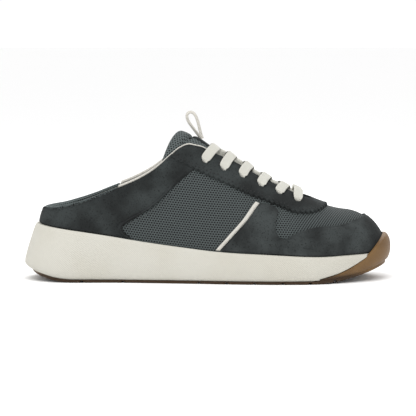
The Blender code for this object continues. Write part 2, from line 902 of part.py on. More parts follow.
def eyelet(row, side):
    """(ring, angle) of an eyelet, at its inset from the throat's edge."""
    share = mix(*EYELET_SHARES, row / (EYELETS - 1))
    ring, _ = spot(Mark(share, 0.82), side)
    edge = on_last(ring, rim_angle(ring))
    low, high = 0.0, rim_angle(ring)
    for _ in range(30):
        middle = (low + high) / 2
        far = (on_last(ring, middle) - edge).length > EYELET_INSET
        low, high = (middle, high) if far else (low, middle)
    return ring, low


def build_eyelet_cutters():
    """Twelve pins in one object, each square to the wall at its eyelet."""
    work = bmesh.new()
    for row in range(EYELETS):
        for side in (-1, 1):
            ring, angle = eyelet(row, side)
            here = on_last(ring, angle)
            outside = on_last(ring, angle, 0.01) - here
            along = on_last(ring, angle + 0.02) - on_last(ring, angle - 0.02)
            normal = (outside - along * outside.dot(along) / along.length_squared).normalized()
            turn = normal.to_track_quat("Z", "Y").to_matrix().to_4x4()
            place = Matrix.Translation(here) @ turn
            bmesh.ops.create_cone(
                work, cap_ends=True, segments=8, radius1=EYELET_RADIUS, radius2=EYELET_RADIUS,
                depth=6 * WALL, matrix=place,
            )
    mesh = bpy.data.meshes.new("eyelet_cutters")
    work.to_mesh(mesh)
    work.free()
    cutters = bpy.data.objects.new("eyelet_cutters", mesh)
    bpy.context.scene.collection.objects.link(cutters)
    cutters.location.y = SHIFT
    return cutters


def build_eyestay(finish):
    """The suede U that carries the eyelets."""
    return panel("eyestay", eyestay_place, 3, 30, level(OVERLAY_FOOT), level(OVERLAY_TOP), finish)


def ring_offset(ring, angle, distance):
    """The change of ring share that moves a place this far along the shoe."""
    step = 0.002
    length = (on_last(ring + step, angle) - on_last(ring - step, angle)).length
    return 2 * step * distance / max(length, GAP)


def piping_place(side, u, v):
    ring, angle = PIPING_SIDE(u)
    angle = max(angle, foot_angle(ring))
    ring += (v - 0.5) * ring_offset(ring, angle, PIPING_WIDTH)
    return (ring if side < 0 else other_side(ring)), angle


def build_piping(name, side, finish):
    """The pale stripe from the eyestay down to the sole."""
    def place(u, v):
        return piping_place(side, u, v)
    return panel(name, place, 2, 8, level(SEAT), level(SEAT + PIPING_THICK), finish)


def guard_place(u, v):
    """v runs from the sole, 0, to the guard's upper edge, 1."""
    reach = 1 - abs(2 * u - 1)
    high_ring, high_angle = GUARD_SIDE(reach)
    low_ring = mix(PIPING_SIDE(0.0)[0], 1.0, reach**0.85)
    low_angle = foot_angle(low_ring)
    beside_piping = (1 - reach) ** 10
    piping_ring, piping_angle = PIPING_SIDE(v * 0.97)
    ring = mix(mix(low_ring, high_ring, v), piping_ring, beside_piping)
    angle = mix(mix(low_angle, high_angle, v), max(piping_angle, low_angle), beside_piping)
    clear = PIPING_WIDTH / 2 + 4 * GAP
    ring += ring_offset(ring, angle, clear) * beside_piping
    return (ring if u <= 0.5 else other_side(ring)), angle


def build_toe_guard(finish):
    """Suede round the toe, with an arm up each side between the piping and the vamp's mesh."""
    return panel("toe_guard", guard_place, 5, 40, level(OVERLAY_FOOT), level(OVERLAY_TOP), finish)


def rim_loop(ring, width, height, points):
    """A rounded section that sits on the upper's edge."""
    rim = rim_angle(ring)
    outer, inner = on_last(ring, rim), on_last(ring, rim, -WALL)
    up = (outer - on_last(ring, rim - 0.03)).normalized()
    across = (outer - inner).normalized()
    up = (up - across * up.dot(across)).normalized()
    middle = (outer + inner) / 2 + up * (2 * GAP + height / 2)
    turns = [2 * math.pi * (k + 0.5) / points for k in range(points)]
    scale = 1 / math.cos(math.pi / points)
    return [
        middle + across * (math.cos(t) * width / 2 * scale) + up * (math.sin(t) * height / 2 * scale)
        for t in turns
    ]


def rings_between(start, end):
    """The shared rings between two lateral ring shares, with both ends."""
    return [start] + [a for a in shared_rings() if start + 0.003 < a < end - 0.003] + [end]


def build_collar_roll(finish):
    """The padded mesh rim behind the heel, low at the back and tapering out along the sides."""
    end = ROLL_END_RING
    side = rings_between(0.0, end)
    loops = []
    for ring in side[::-1] + [other_side(a) for a in side[1:]]:
        a, _ = half_ring(ring)
        height = mix(ROLL_HEIGHT, BINDING_HEIGHT, ease(a / end))
        loops.append(rim_loop(ring, WALL + 2 * EDGE, height, 8))
    return loft("collar_roll", loops, finish, capped=True)


def build_binding(name, side, finish):
    """The ribbed cord on the collar's edge, from the roll up to the throat."""
    loops = []
    for a in rings_between(ROLL_END_RING + 0.006, BINDING_END_RING):
        loops.append(rim_loop(a if side < 0 else other_side(a), WALL - EDGE, BINDING_HEIGHT, 6))
    return loft(name, loops, finish, capped=True)


def build_tongue_tab(finish):
    """The suede strip down the top of the tongue."""
    def place(u, v):
        return tongue_place(mix(TAB_START, TAB_END, u), 0.5 + (v - 0.5) * TAB_SPREAD)
    low, high = UNDER_THROAT + SEAT, UNDER_THROAT + SEAT + SUEDE
    return panel("tongue_tab", place, 4, 6, level(low), level(high), finish)


def build_pull_loop(finish):
    """The ribbon loop that stands on the tongue and leans to the heel."""
    lean = Vector((-LOOP_LEAN, 0.0, 1.0)).normalized()
    path = []
    for i in range(17):
        turn = math.pi * i / 16
        spread = math.cos(turn) * mix(LOOP_THICK * 0.8, LOOP_SPREAD, math.sin(turn))
        share = LOOP_SHARE + spread * lean.z / LAST_LENGTH
        height = ridge_z(LOOP_SHARE) + UNDER_THROAT + LOOP_FOOT - spread * lean.x
        foot = Vector((place_of(share), centre_y(share), height))
        path.append(foot + lean * (LOOP_HEIGHT * math.sin(turn) ** 0.7))
    loops = []
    for i, point in enumerate(path):
        along = (path[min(i + 1, 16)] - path[max(i - 1, 0)]).normalized()
        thick = Vector((along.z, 0.0, -along.x)) * LOOP_THICK / 2
        wide = Vector((0.0, LOOP_WIDTH / 2, 0.0))
        loops.append([point + thick + wide, point + thick - wide])
        loops[-1] += [point - thick - wide, point - thick + wide]
    return loft("pull_loop", loops, finish, capped=True)


def eyelet_point(row, side):
    return on_last(*eyelet(row, side))


def throat_point(row, side):
    """A place in plan just inside the throat's edge, beside a row of eyelets."""
    x = eyelet_point(row, side).x
    share = share_of(x)
    reach = throat_half(share) - LACE_DIVE
    return Vector((x, centre_y(share) + side * reach))


def lace_start(row, side, toward):
    """The place in plan where a lace leaves its eyelet."""
    point = eyelet_point(row, side)
    start = Vector((point.x, point.y))
    return start + (toward - start).normalized() * (EYELET_RADIUS + 3 * GAP)


def sag(x, y):
    """How far a lace comes down towards the tongue here, between the throat's edges."""
    share = share_of(x)
    reach = abs(y - centre_y(share)) / max(throat_half(share) - LACE_REST, GAP)
    return (LACE_OVER - LACE_LOW) * max(1 - reach**2, 0.0) ** 2


def lace_skin(name, corners, over, arms, finish):
    """A flat crossing: corners in plan round its middle, which lies over off the last, and arms
    from pairs of corners. Each arm gives the corner pair, the end pair and the end's height."""
    points, faces = [], []

    def pin(x, y, grow):
        foot = above(x, y, max(grow - sag(x, y), min(grow, LACE_LOW)))
        points.append(foot)
        points.append(foot + Vector((0.0, 0.0, LACE_THICK)))
        return len(points) - 2

    centre = [pin(*corner, over) for corner in corners]
    faces += [tuple(centre), tuple(i + 1 for i in reversed(centre))]
    with_arm = [pair for pair, _, _ in arms]
    for i in range(4):
        j = (i + 1) % 4
        if (i, j) not in with_arm:
            faces.append((centre[i], centre[i] + 1, centre[j] + 1, centre[j]))
    for (first, second), (left, right), end in arms:
        before = (centre[first], centre[second])
        for k in range(1, LACE_ROWS + 1):
            t = k / LACE_ROWS
            grow = mix(over, end, ease((t - 0.45) / 0.55))
            here = []
            for corner, tip in ((corners[first], left), (corners[second], right)):
                x, y = mix(corner[0], tip[0], t), mix(corner[1], tip[1], t)
                here.append(pin(x, y, grow))
            a, b = before
            c, d = here
            faces += [(a, b, d, c), (a + 1, c + 1, d + 1, b + 1)]
            faces += [(a, c, c + 1, a + 1), (b, b + 1, d + 1, d)]
            before = (c, d)
        c, d = before
        faces.append((c, d, d + 1, c + 1))
    halves = [half for face in faces for half in split(points, face)]
    return make(name, points, halves, finish)


def build_crossing(row, finish):
    """Two laces that cross over the throat: each leaves an eyelet on top of the eyestay and
    dives under the far edge of the throat, one row nearer the toe."""
    ends = {side: throat_point(row + 1, side) for side in (-1, 1)}
    for end in ends.values():
        end.x -= LACE_WIDTH * 0.2
    starts = {side: lace_start(row, side, ends[-side]) for side in (-1, 1)}
    lines = {side: (ends[-side] - starts[side]).normalized() for side in (-1, 1)}
    cross = lines[-1].cross(lines[1])
    t = (starts[1] - starts[-1]).cross(lines[1]) / cross
    middle = starts[-1] + lines[-1] * t
    sides = {side: Vector((-lines[side].y, lines[side].x)) for side in (-1, 1)}

    def corner(s1, s2):
        det = sides[-1].cross(sides[1])
        k1, k2 = s1 * LACE_WIDTH / 2, s2 * LACE_WIDTH / 2
        shift = Vector((k1 * sides[1].y - k2 * sides[-1].y, k2 * sides[-1].x - k1 * sides[1].x))
        return middle + shift / det

    order = [(1, 1), (1, -1), (-1, -1), (-1, 1)]
    corners = [corner(*signs) for signs in order]
    arms = []
    for i in range(4):
        j = (i + 1) % 4
        pair = (corners[i] + corners[j]) / 2 - middle
        same_first = order[i][0] == order[j][0]
        band = 1 if same_first else -1
        forward = pair.dot(lines[band]) > 0
        tip = ends[-band] if forward else starts[band]
        if forward:
            reach = max(corners[i].dot(lines[band]), corners[j].dot(lines[band])) + LACE_BEYOND
            tip = tip + lines[band] * max(reach - tip.dot(lines[band]), 0.0)
        half = sides[band] * (LACE_WIDTH / 2 * (0.9 if forward else 0.8))
        flip = 1 if (corners[i] - middle).dot(sides[band]) > 0 else -1
        end = UNDER_THROAT + 2 * GAP if forward else LACE_OVER
        arms.append(((i, j), (tip + half * flip, tip - half * flip), end))
    return lace_skin(f"lace_cross_{row + 1}", corners, LACE_OVER, arms, finish)


def build_bar(finish):
    """The straight lace across the throat's toe end."""
    row = EYELETS - 1
    tips = {side: Vector(eyelet_point(row, side)[:2]) for side in (-1, 1)}
    starts = {side: lace_start(row, side, tips[-side]) for side in (-1, 1)}
    half = Vector((LACE_WIDTH / 2, 0.0))
    inner = 0.35
    left, right = (starts[-1].lerp(starts[1], k) for k in (inner, 1 - inner))
    corners = [left - half, left + half, right + half, right - half]
    arms = [
        ((0, 1), (starts[-1] - half * 0.8, starts[-1] + half * 0.8), LACE_OVER),
        ((2, 3), (starts[1] + half * 0.8, starts[1] - half * 0.8), LACE_OVER),
    ]
    return lace_skin("lace_bar", corners, LACE_OVER + 2 * LACE_THICK, arms, finish)


def box(name, size):
    """A box round the origin, for cutting."""
    bpy.ops.mesh.primitive_cube_add(size=1.0)
    made = bpy.context.object
    made.name = name
    made.scale = size
    return made


def cut(target, cutter):
    """Cuts the cutter out of the target."""
    cutter.hide_render = True
    cutter.display_type = "WIRE"
    step = target.modifiers.new(cutter.name, "BOOLEAN")
    step.operation = "DIFFERENCE"
    step.solver = "EXACT"
    step.object = cutter


def ring_at_rim(x):
    """The lateral ring share at which the upper's edge is at x."""
    low, high = 0.0, THROAT_FRONT
    for _ in range(30):
        middle = (low + high) / 2
        low, high = (middle, high) if on_last(middle, rim_angle(middle)).x < x else (low, middle)
    return low


def toe_angle(share):
    """The angle at which the toe's middle wall is at this share of the last."""
    low, high = 0.0, QUARTER_TURN
    for _ in range(30):
        middle = (low + high) / 2
        ahead = on_last(1.0, middle).x > place_of(share)
        low, high = (middle, high) if ahead else (low, middle)
    return low


TONGUE_SIDE = through([spot(mark) for mark in TONGUE_EDGE])
EYESTAY_SPOTS = [spot(mark) for mark in EYESTAY_EDGE]
EYESTAY_OVER = smooth_line(EYESTAY_SPOTS)
EYESTAY_SIDE = through(EYESTAY_SPOTS + [(ring_at_spine(EYESTAY_FRONT_SHARE), QUARTER_TURN)])
QUARTER_FRONT = through([spot(mark) for mark in reversed(QUARTER_EDGE)])
PIPING_SIDE = through([spot(mark) for mark in PIPING_LINE])
GUARD_SIDE = through([spot(mark) for mark in GUARD_EDGE] + [(1.0, toe_angle(GUARD_TOE_SHARE))])
ROLL_END_RING = ring_at_rim(place_of(ROLL_END_SHARE))
BINDING_END_RING = ring_at_rim(place_of(BINDING_END_SHARE))


def main():
    for obj in list(bpy.data.objects):
        bpy.data.objects.remove(obj)
    knit = material("grey mesh", (0.068, 0.078, 0.078), 0.9)
    suede = material("dark suede", (0.036, 0.039, 0.039), 0.95)
    foam = material("pale foam", (0.68, 0.66, 0.60), 0.6)
    gum = material("gum rubber", (0.235, 0.14, 0.06), 0.5)
    footbed = material("dark footbed", (0.03, 0.032, 0.033), 0.95)
    padded = material("tongue mesh", (0.047, 0.053, 0.053), 0.9)
    cord = material("pale cord", (0.74, 0.72, 0.66), 0.7)
    lace = material("pale lace", (0.65, 0.64, 0.56), 0.8)
    upper = build_upper(knit)
    build_midsole(foam)
    build_outsole(gum)
    build_insole(footbed)
    build_tongue(padded)
    build_heel_quarter(suede)
    eyestay = build_eyestay(suede)
    build_toe_guard(suede)
    for name, side in (("lateral", -1), ("medial", 1)):
        build_piping(f"piping_{name}", side, cord)
        build_binding(f"binding_{name}", side, cord)
    build_collar_roll(knit)
    build_tongue_tab(suede)
    build_pull_loop(cord)
    for row in range(EYELETS - 1):
        build_crossing(row, lace)
    build_bar(lace)
    cutters = build_eyelet_cutters()
    cut(upper, cutters)
    cut(eyestay, cutters)


main()
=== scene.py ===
# %% [markdown]
# A slip-on shoe, dressed
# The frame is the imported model: plain solids at their real places. This script puts finer
# meshes over them and gives every surface its finish. The shoe is drawn on one last, so the
# same last function is written here again, with numpy, which works out a whole grid of points
# in one call. +X points to the toe, -Y to the lateral side that the camera sees, +Z up.

# %% Load the frame
import math
from collections import namedtuple

import bmesh
import bpy
import numpy as np
from mathutils import Matrix, Vector


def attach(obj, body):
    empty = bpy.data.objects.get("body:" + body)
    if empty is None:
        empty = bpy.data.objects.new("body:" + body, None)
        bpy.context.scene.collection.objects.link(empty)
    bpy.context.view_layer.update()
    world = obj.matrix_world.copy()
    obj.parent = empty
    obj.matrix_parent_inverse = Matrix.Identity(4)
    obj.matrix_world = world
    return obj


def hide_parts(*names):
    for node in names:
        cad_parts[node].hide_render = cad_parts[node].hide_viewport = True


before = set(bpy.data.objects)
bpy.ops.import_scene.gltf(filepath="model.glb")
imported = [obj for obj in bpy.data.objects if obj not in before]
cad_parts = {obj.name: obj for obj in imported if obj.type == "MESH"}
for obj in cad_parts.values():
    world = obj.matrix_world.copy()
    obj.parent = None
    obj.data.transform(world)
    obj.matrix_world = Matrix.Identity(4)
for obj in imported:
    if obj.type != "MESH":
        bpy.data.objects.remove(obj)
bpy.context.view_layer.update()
bpy.context.scene.view_settings.view_transform = "Standard"
MM = 0.001
print("frame nodes:", len(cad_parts))

# %% [markdown]
# The camera
# The photo is a product shot from far away with a long lens: near and far rims of the collar
# almost coincide. The camera stands 1.8 m off the shoe's lateral side, a little over its top,
# and looks slightly down. It is set up first.

# %% Camera
CAMERA_DISTANCE = 1.8
CAMERA_HEIGHT = 0.205
CAMERA_PITCH = math.radians(4.70)
FRAME_PIXELS = 416
FOCAL_PIXELS = 2205.7

lens = bpy.data.cameras.new("camera")
lens.sensor_width = 36.0
lens.lens = FOCAL_PIXELS / FRAME_PIXELS * lens.sensor_width
lens.clip_start = 0.05
camera = bpy.data.objects.new("camera", lens)
camera.location = (0.0, -CAMERA_DISTANCE, CAMERA_HEIGHT)
camera.rotation_euler = (math.pi / 2 - CAMERA_PITCH, 0.0, 0.0)
bpy.context.scene.collection.objects.link(camera)
bpy.context.scene.camera = camera
print("lens %.0f mm" % lens.lens)

# %% [markdown]
# Sizes
# These are the real sizes of the shoe's layers, as in the part's source, in metres. Shares run
# from 0 at the heel to 1 at the toe of the last, so that a size further down needs no ruler.

# %% Sizes
LENGTH = 0.300
BALL_WIDTH = 0.098
HEEL_WIDTH = 0.066
HEEL_RISE = 0.0455
BALL_RISE = 0.0214
INSTEP_TOP = 0.1245
TOE_TOP = 0.0562
COLLAR_BACK = 0.0580
COLLAR_PEAK = 0.1105
HEEL_SETBACK = 0.0135
TOE_SETBACK = 0.0062
HEEL_ROUND = 0.036
TOE_ROUND = 0.078
END_POWER = 2.35
WALL = 0.0025
SUEDE = 0.0013
SEAT = 0.0006
GAP = 0.0003
BELLY = 0.0018
HEEL_SEAT = 0.0100
TOE_SEAT = 0.0050
LAST_LENGTH = LENGTH - HEEL_SETBACK - TOE_SETBACK
HEEL_X = -LENGTH / 2 + HEEL_SETBACK
QUARTER_TURN = math.pi / 2
SPINE_HEEL = 0.12
SPINE_TOE = 0.87
POLE = 0.045
BALL_SHARE = 0.70
HEEL_SHARE = 0.20
THROAT_TOP_SHARE = 0.455
THROAT_FRONT_SHARE = 0.785
THROAT_HALF = 0.0130
THROAT_TOP_HALF = 0.0190
THROAT_TAPER = 0.22
THROAT_ROUND = 0.012
print("last %.0f mm long" % (LAST_LENGTH / MM))

# %% [markdown]
# Tables of the last
# A last is too round for one formula. It is described here by stations from heel to toe, one row
# for one section of the foot: half widths, swing of the middle line, drop of the sole's top,
# height of the ridge and fullness. A second table gives the collar's height.

# %% Tables of the last
Station = namedtuple("Station", "share lateral medial swing drop ridge full")
LAST = [
    Station(0.00, 1.000, 1.000, 0.000, 1.000, 0.360, 2.00),
    Station(0.06, 1.000, 1.000, 0.000, 0.900, 0.360, 2.00),
    Station(0.12, 1.000, 1.000, 0.000, 0.800, 0.370, 2.00),
    Station(0.20, 1.000, 1.000, -0.004, 0.660, 0.620, 2.00),
    Station(0.30, 1.010, 0.965, -0.010, 0.475, 0.865, 2.05),
    Station(0.40, 0.990, 0.885, -0.014, 0.320, 1.000, 2.05),
    Station(0.45, 0.980, 0.855, -0.015, 0.250, 0.925, 2.02),
    Station(0.50, 0.980, 0.850, -0.014, 0.185, 0.810, 2.00),
    Station(0.57, 0.985, 0.860, -0.010, 0.130, 0.625, 2.00),
    Station(0.64, 1.000, 0.900, -0.003, 0.095, 0.420, 2.00),
    Station(0.70, 1.015, 0.950, 0.005, 0.060, 0.290, 2.00),
    Station(0.76, 1.015, 0.985, 0.014, 0.020, 0.168, 2.02),
    Station(0.82, 0.990, 0.985, 0.027, 0.000, 0.056, 2.06),
    Station(0.88, 0.940, 0.945, 0.042, 0.020, 0.000, 2.10),
    Station(0.94, 0.880, 0.890, 0.058, 0.030, 0.000, 2.14),
    Station(1.00, 0.830, 0.850, 0.074, 0.050, 0.000, 2.15),
]
Rim = namedtuple("Rim", "share height")
COLLAR = [
    Rim(0.000, 0.00), Rim(0.055, 0.02), Rim(0.106, 0.09), Rim(0.156, 0.18), Rim(0.207, 0.29),
    Rim(0.258, 0.395), Rim(0.309, 0.53), Rim(0.352, 0.69), Rim(0.380, 0.82), Rim(0.410, 0.94),
    Rim(0.447, 1.00), Rim(0.600, 1.00),
]
print("stations of the last:", len(LAST))

# %% [markdown]
# Smooth lines
# Between the stations the form has to run smoothly and must not overshoot. A spline whose slopes
# are the harmonic mean of the rises beside each point does both, and is short to write.

# %% Smooth lines
def smooth_line(points):
    """A function that runs smoothly through the points and doesn't overshoot them."""
    xs, ys = np.array(points, dtype=float)[:, :2].T
    rises = np.diff(ys) / np.diff(xs)
    before, after = rises[:-1], rises[1:]
    both = np.where(before * after > 0, before + after, 1.0)
    inner = np.where(before * after > 0, 2 * before * after / both, 0.0)
    slopes = np.concatenate([rises[:1], inner, rises[-1:]])

    def at(x):
        x = np.clip(x, xs[0], xs[-1])
        i = np.clip(np.searchsorted(xs, x, side="right") - 1, 0, len(xs) - 2)
        span = xs[i + 1] - xs[i]
        t = (x - xs[i]) / span
        rise = ys[i + 1] - ys[i]
        start, end = slopes[i] * span, slopes[i + 1] * span
        return ys[i] + t * (start + t * (3 * rise - 2 * start - end + t * (start + end - 2 * rise)))

    return at


def column(table, name):
    return smooth_line([(row[0], getattr(row, name)) for row in table])


def ease(t):
    t = np.clip(t, 0.0, 1.0)
    return t * t * (3 - 2 * t)


def mix(a, b, t):
    return a + (b - a) * t


LATERAL, MEDIAL = column(LAST, "lateral"), column(LAST, "medial")
SWING, DROP = column(LAST, "swing"), column(LAST, "drop")
RIDGE, FULL = column(LAST, "ridge"), column(LAST, "full")
RIM = column(COLLAR, "height")
print("ball is %.2f of the full lateral width" % LATERAL(0.70))

# %% [markdown]
# Places and heights
# Small helpers turn a share into a place along the shoe, and give the heights there: the sole's
# top, the seat that the foot stands on, and the ridge over the instep. The ridge stops falling
# near the toe, where the toe box is level.

# %% Places and heights
def share_of(x):
    return (x - HEEL_X) / LAST_LENGTH


def place_of(share):
    return HEEL_X + share * LAST_LENGTH


def centre_y(share):
    return BALL_WIDTH * SWING(share)


def sole_top(share):
    return mix(BALL_RISE, HEEL_RISE, DROP(share))


def seat_z(share):
    return sole_top(share) - mix(HEEL_SEAT, TOE_SEAT, ease(share))


def ridge_z(share):
    return mix(TOE_TOP, INSTEP_TOP, RIDGE(np.minimum(share, SPINE_TOE)))


print("ridge is %.0f mm high at most" % (ridge_z(0.40) / MM))

# %% [markdown]
# The last's outline
# A ring runs round the shoe: from the heel (0) along the lateral side to the toe (1), and back
# along the medial side (2). Both ends are rounded by a superellipse, which is fuller than a
# circle, as a real sole is.

# %% The last's outline
def half_ring(ring):
    ring = np.mod(ring, 2)
    return np.where(ring <= 1, ring, 2 - ring), np.where(ring <= 1, -1.0, 1.0)


def outline(ring):
    a, side = half_ring(ring)
    share = (1 - np.cos(np.pi * a)) / 2
    front = ease((share - HEEL_SHARE) / (BALL_SHARE - HEEL_SHARE))
    half = mix(HEEL_WIDTH, BALL_WIDTH, front) / 2
    half = half * np.where(side < 0, LATERAL(share), MEDIAL(share))
    for reach, rounding in ((share, HEEL_ROUND), (1 - share, TOE_ROUND)):
        inward = np.maximum(1 - reach * LAST_LENGTH / rounding, 0.0)
        half = half * np.maximum(1 - inward**END_POWER, 0.0) ** (1 / END_POWER)
    return place_of(share), centre_y(share) + side * half


def outward(ring):
    step = 0.004
    ax, ay = outline(ring - step)
    bx, by = outline(ring + step)
    size = np.hypot(bx - ax, by - ay)
    return (by - ay) / size, (ax - bx) / size


sides = outline(np.linspace(0, 2, 200))[1]
print("outline is %.0f mm wide" % ((sides.max() - sides.min()) / MM))

# %% [markdown]
# Points on the last
# A place on the upper is a ring share and an angle up the wall, from its foot (0) to the ridge (90
# degrees). Sweeping an ellipse-like arc from each foot point to the ridge gives the smooth egg
# form of a real last, with no seams to hide.

# %% Points on the last
def spine_share(ring):
    a, _ = half_ring(ring)
    t = np.clip((a - POLE) / (1 - 2 * POLE), 0.0, 1.0)
    return mix(SPINE_HEEL, SPINE_TOE, t - np.sin(2 * np.pi * t) / (2 * np.pi))


def on_last(ring, angle, grow=0.0):
    """Points on the last, grown outwards by grow. The result has x, y and z in its last axis."""
    ring, angle, grow = np.broadcast_arrays(
        np.asarray(ring, float), np.asarray(angle, float), np.asarray(grow, float))
    fx, fy = outline(ring)
    nx, ny = outward(ring)
    share, top = share_of(fx), spine_share(ring)
    power = 2 / FULL(share)
    across = 1 - np.maximum(np.cos(angle), 0.0) ** power
    up = np.maximum(np.sin(angle), 0.0) ** power
    belly = BELLY * 4 * up * (1 - up) ** 2
    x = mix(fx + nx * grow, place_of(top), across) + nx * belly
    y = mix(fy + ny * grow, centre_y(top), across) + ny * belly
    z = mix(seat_z(share), ridge_z(top) + grow, up)
    return np.stack([x, y, z], axis=-1)


print("toe box is %.0f mm high" % (on_last(1.0, QUARTER_TURN)[2] / MM))

# %% [markdown]
# Collar and throat
# The wall ends at the collar's line, or at the throat under the laces. Where it ends has no
# formula, so it is found by halving: a whole array of angles at once, until it is exact enough.

# %% Collar and throat
def bisect(below, low, high, steps=34):
    """The value at which below(value) stops being true, for whole arrays at once."""
    low, high = np.broadcast_arrays(np.asarray(low, float), np.asarray(high, float))
    low, high = low.copy(), high.copy()
    for _ in range(steps):
        middle = (low + high) / 2
        yes = below(middle)
        low, high = np.where(yes, middle, low), np.where(yes, high, middle)
    return low


def ring_at_spine(share):
    return float(bisect(lambda a: spine_share(a) < share, 0.0, 1.0))


def angle_at_height(ring, height, grow=0.0):
    start = np.zeros(np.broadcast(ring, height).shape)
    return bisect(lambda angle: on_last(ring, angle, grow)[..., 2] < height, start, QUARTER_TURN)


def throat_half(share):
    half = mix(THROAT_TOP_HALF, THROAT_HALF, ease((share - THROAT_TOP_SHARE) / THROAT_TAPER))
    ahead = np.maximum((share - THROAT_FRONT_SHARE) * LAST_LENGTH + THROAT_ROUND, 0.0)
    return half * np.sqrt(np.maximum(1 - (ahead / THROAT_ROUND) ** 2, 0.0))


def rim_angle(ring):
    """The angle at which the wall ends, at the collar or the throat, or 90 degrees."""
    ring = np.asarray(ring, float)

    def inside(angle):
        point = on_last(ring, angle)
        share = share_of(point[..., 0])
        limit = mix(COLLAR_BACK, COLLAR_PEAK, RIM(share))
        apart = np.abs(point[..., 1] - centre_y(share)) > throat_half(share)
        return (point[..., 2] < limit) & ((share <= THROAT_TOP_SHARE - 0.03) | apart)

    open_top = spine_share(ring) < THROAT_FRONT_SHARE - 1e-9
    return np.where(open_top, bisect(inside, np.zeros(ring.shape), QUARTER_TURN), QUARTER_TURN)


THROAT_FRONT = ring_at_spine(THROAT_FRONT_SHARE)
print("throat closes at ring %.3f" % THROAT_FRONT)

# %% [markdown]
# Pattern marks
# A pattern cutter draws the panels on the side of the last. Each mark is a share of the last's
# length and of the height from the sole to the ridge, read along the panel's edge.

# %% Pattern marks
Mark = namedtuple("Mark", "along up")
EYESTAY_EDGE = [
    Mark(0.376, 0.765), Mark(0.400, 0.690), Mark(0.450, 0.668), Mark(0.500, 0.665),
    Mark(0.550, 0.665), Mark(0.600, 0.668), Mark(0.650, 0.690), Mark(0.690, 0.682),
    Mark(0.730, 0.672), Mark(0.768, 0.728), Mark(0.800, 0.830),
]
EYESTAY_FRONT_SHARE = 0.836
QUARTER_EDGE = [
    Mark(0.456, 0.712), Mark(0.419, 0.588), Mark(0.383, 0.480), Mark(0.325, 0.322),
    Mark(0.264, 0.200), Mark(0.241, 0.130), Mark(0.245, 0.060), Mark(0.270, 0.012),
]
PIPING_LINE = [Mark(0.515, 0.012), Mark(0.552, 0.172), Mark(0.593, 0.380), Mark(0.629, 0.640)]
GUARD_EDGE = [
    Mark(0.629, 0.690), Mark(0.655, 0.712), Mark(0.685, 0.700), Mark(0.700, 0.640),
    Mark(0.662, 0.490), Mark(0.641, 0.370), Mark(0.654, 0.280), Mark(0.698, 0.250),
    Mark(0.757, 0.430), Mark(0.812, 0.590), Mark(0.868, 0.675), Mark(0.916, 0.775),
]
GUARD_TOE_SHARE = 0.940
TONGUE_EDGE = [
    Mark(0.340, 0.660), Mark(0.400, 0.600), Mark(0.500, 0.600), Mark(0.600, 0.620),
    Mark(0.700, 0.650), Mark(0.780, 0.720), Mark(0.815, 0.820),
]
TONGUE_TOP_SHARE = 0.404
TONGUE_FOOT_SHARE = 0.825
print("marks:", len(EYESTAY_EDGE) + len(QUARTER_EDGE) + len(GUARD_EDGE))

# %% [markdown]
# Pattern lines
# A small solver finds the ring and angle of each mark. It walks there in short steps, by the
# slope that it measures in place. The line through the marks gives a panel's edge that follows
# the form exactly.

# %% Pattern lines
def find(first, second, axes, a, angle):
    """(ring, angle) on the lateral side at which two coordinates are reached."""
    step = 1e-4
    for _ in range(25):
        here, along, climb = on_last([a, a + step, a], [angle, angle, angle - step])
        pa, qa = [(along[k] - here[k]) / step for k in axes]
        pb, qb = [(here[k] - climb[k]) / step for k in axes]
        scale = pa * qb - pb * qa
        miss_p, miss_q = first - here[axes[0]], second - here[axes[1]]
        a += max(-0.05, min(0.05, (miss_p * qb - miss_q * pb) / scale))
        angle += max(-0.1, min(0.1, (miss_q * pa - miss_p * qa) / scale))
        a, angle = min(max(a, 0.001), 0.999), min(max(angle, 0.001), QUARTER_TURN)
    return a, angle


def spot(mark):
    low_z, high_z, seat = sole_top(mark.along), ridge_z(mark.along), seat_z(mark.along)
    z = mix(low_z, high_z, mark.up)
    a = math.acos(1 - 2 * mark.along) / math.pi
    angle = math.asin(min((z - seat) / (high_z - seat), 0.99))
    return find(place_of(mark.along), z, (0, 2), a, angle)


def through(places):
    """A smooth line through (ring, angle) places, over a share from 0 to 1 of its length."""
    rings, angles = np.array(places).T
    points = on_last(rings, angles)
    lengths = np.concatenate([[0.0], np.cumsum(np.linalg.norm(np.diff(points, axis=0), axis=1))])
    shares = lengths / lengths[-1]
    ring_line = smooth_line(np.stack([shares, rings], axis=1))
    angle_line = smooth_line(np.stack([shares, angles], axis=1))
    return lambda t: (ring_line(t), angle_line(t))


EYESTAY_SPOTS = [spot(mark) for mark in EYESTAY_EDGE]
EYESTAY_OVER = smooth_line(EYESTAY_SPOTS)
EYESTAY_SIDE = through(EYESTAY_SPOTS + [(ring_at_spine(EYESTAY_FRONT_SHARE), QUARTER_TURN)])
QUARTER_FRONT = through([spot(mark) for mark in reversed(QUARTER_EDGE)])
PIPING_SIDE = through([spot(mark) for mark in PIPING_LINE])
toe_angle = float(bisect(
    lambda angle: on_last(1.0, angle)[..., 0] > place_of(GUARD_TOE_SHARE), 0.0, QUARTER_TURN))
GUARD_SIDE = through([spot(mark) for mark in GUARD_EDGE] + [(1.0, toe_angle)])
TONGUE_SIDE = through([spot(mark) for mark in TONGUE_EDGE])
print("pattern marks placed:", len(EYESTAY_SPOTS) + len(QUARTER_EDGE) + len(GUARD_EDGE))

# %% [markdown]
# Finishes and their nodes
# Every finish is made of nodes: a colour that varies a little, a roughness, and a height that goes
# to a bump. The calls for the nodes are always the same, so a small class holds them. Fabrics use
# the pieces' own coordinates in millimetres, so that holes and ribs keep their real pitch.

# %% Finishes and their nodes
def linear(*levels):
    """A display colour, 0 to 255, as the linear light that a shader takes."""
    shares = [level / 255 for level in levels]
    return [s / 12.92 if s <= 0.04045 else ((s + 0.055) / 1.055) ** 2.4 for s in shares] + [1.0]


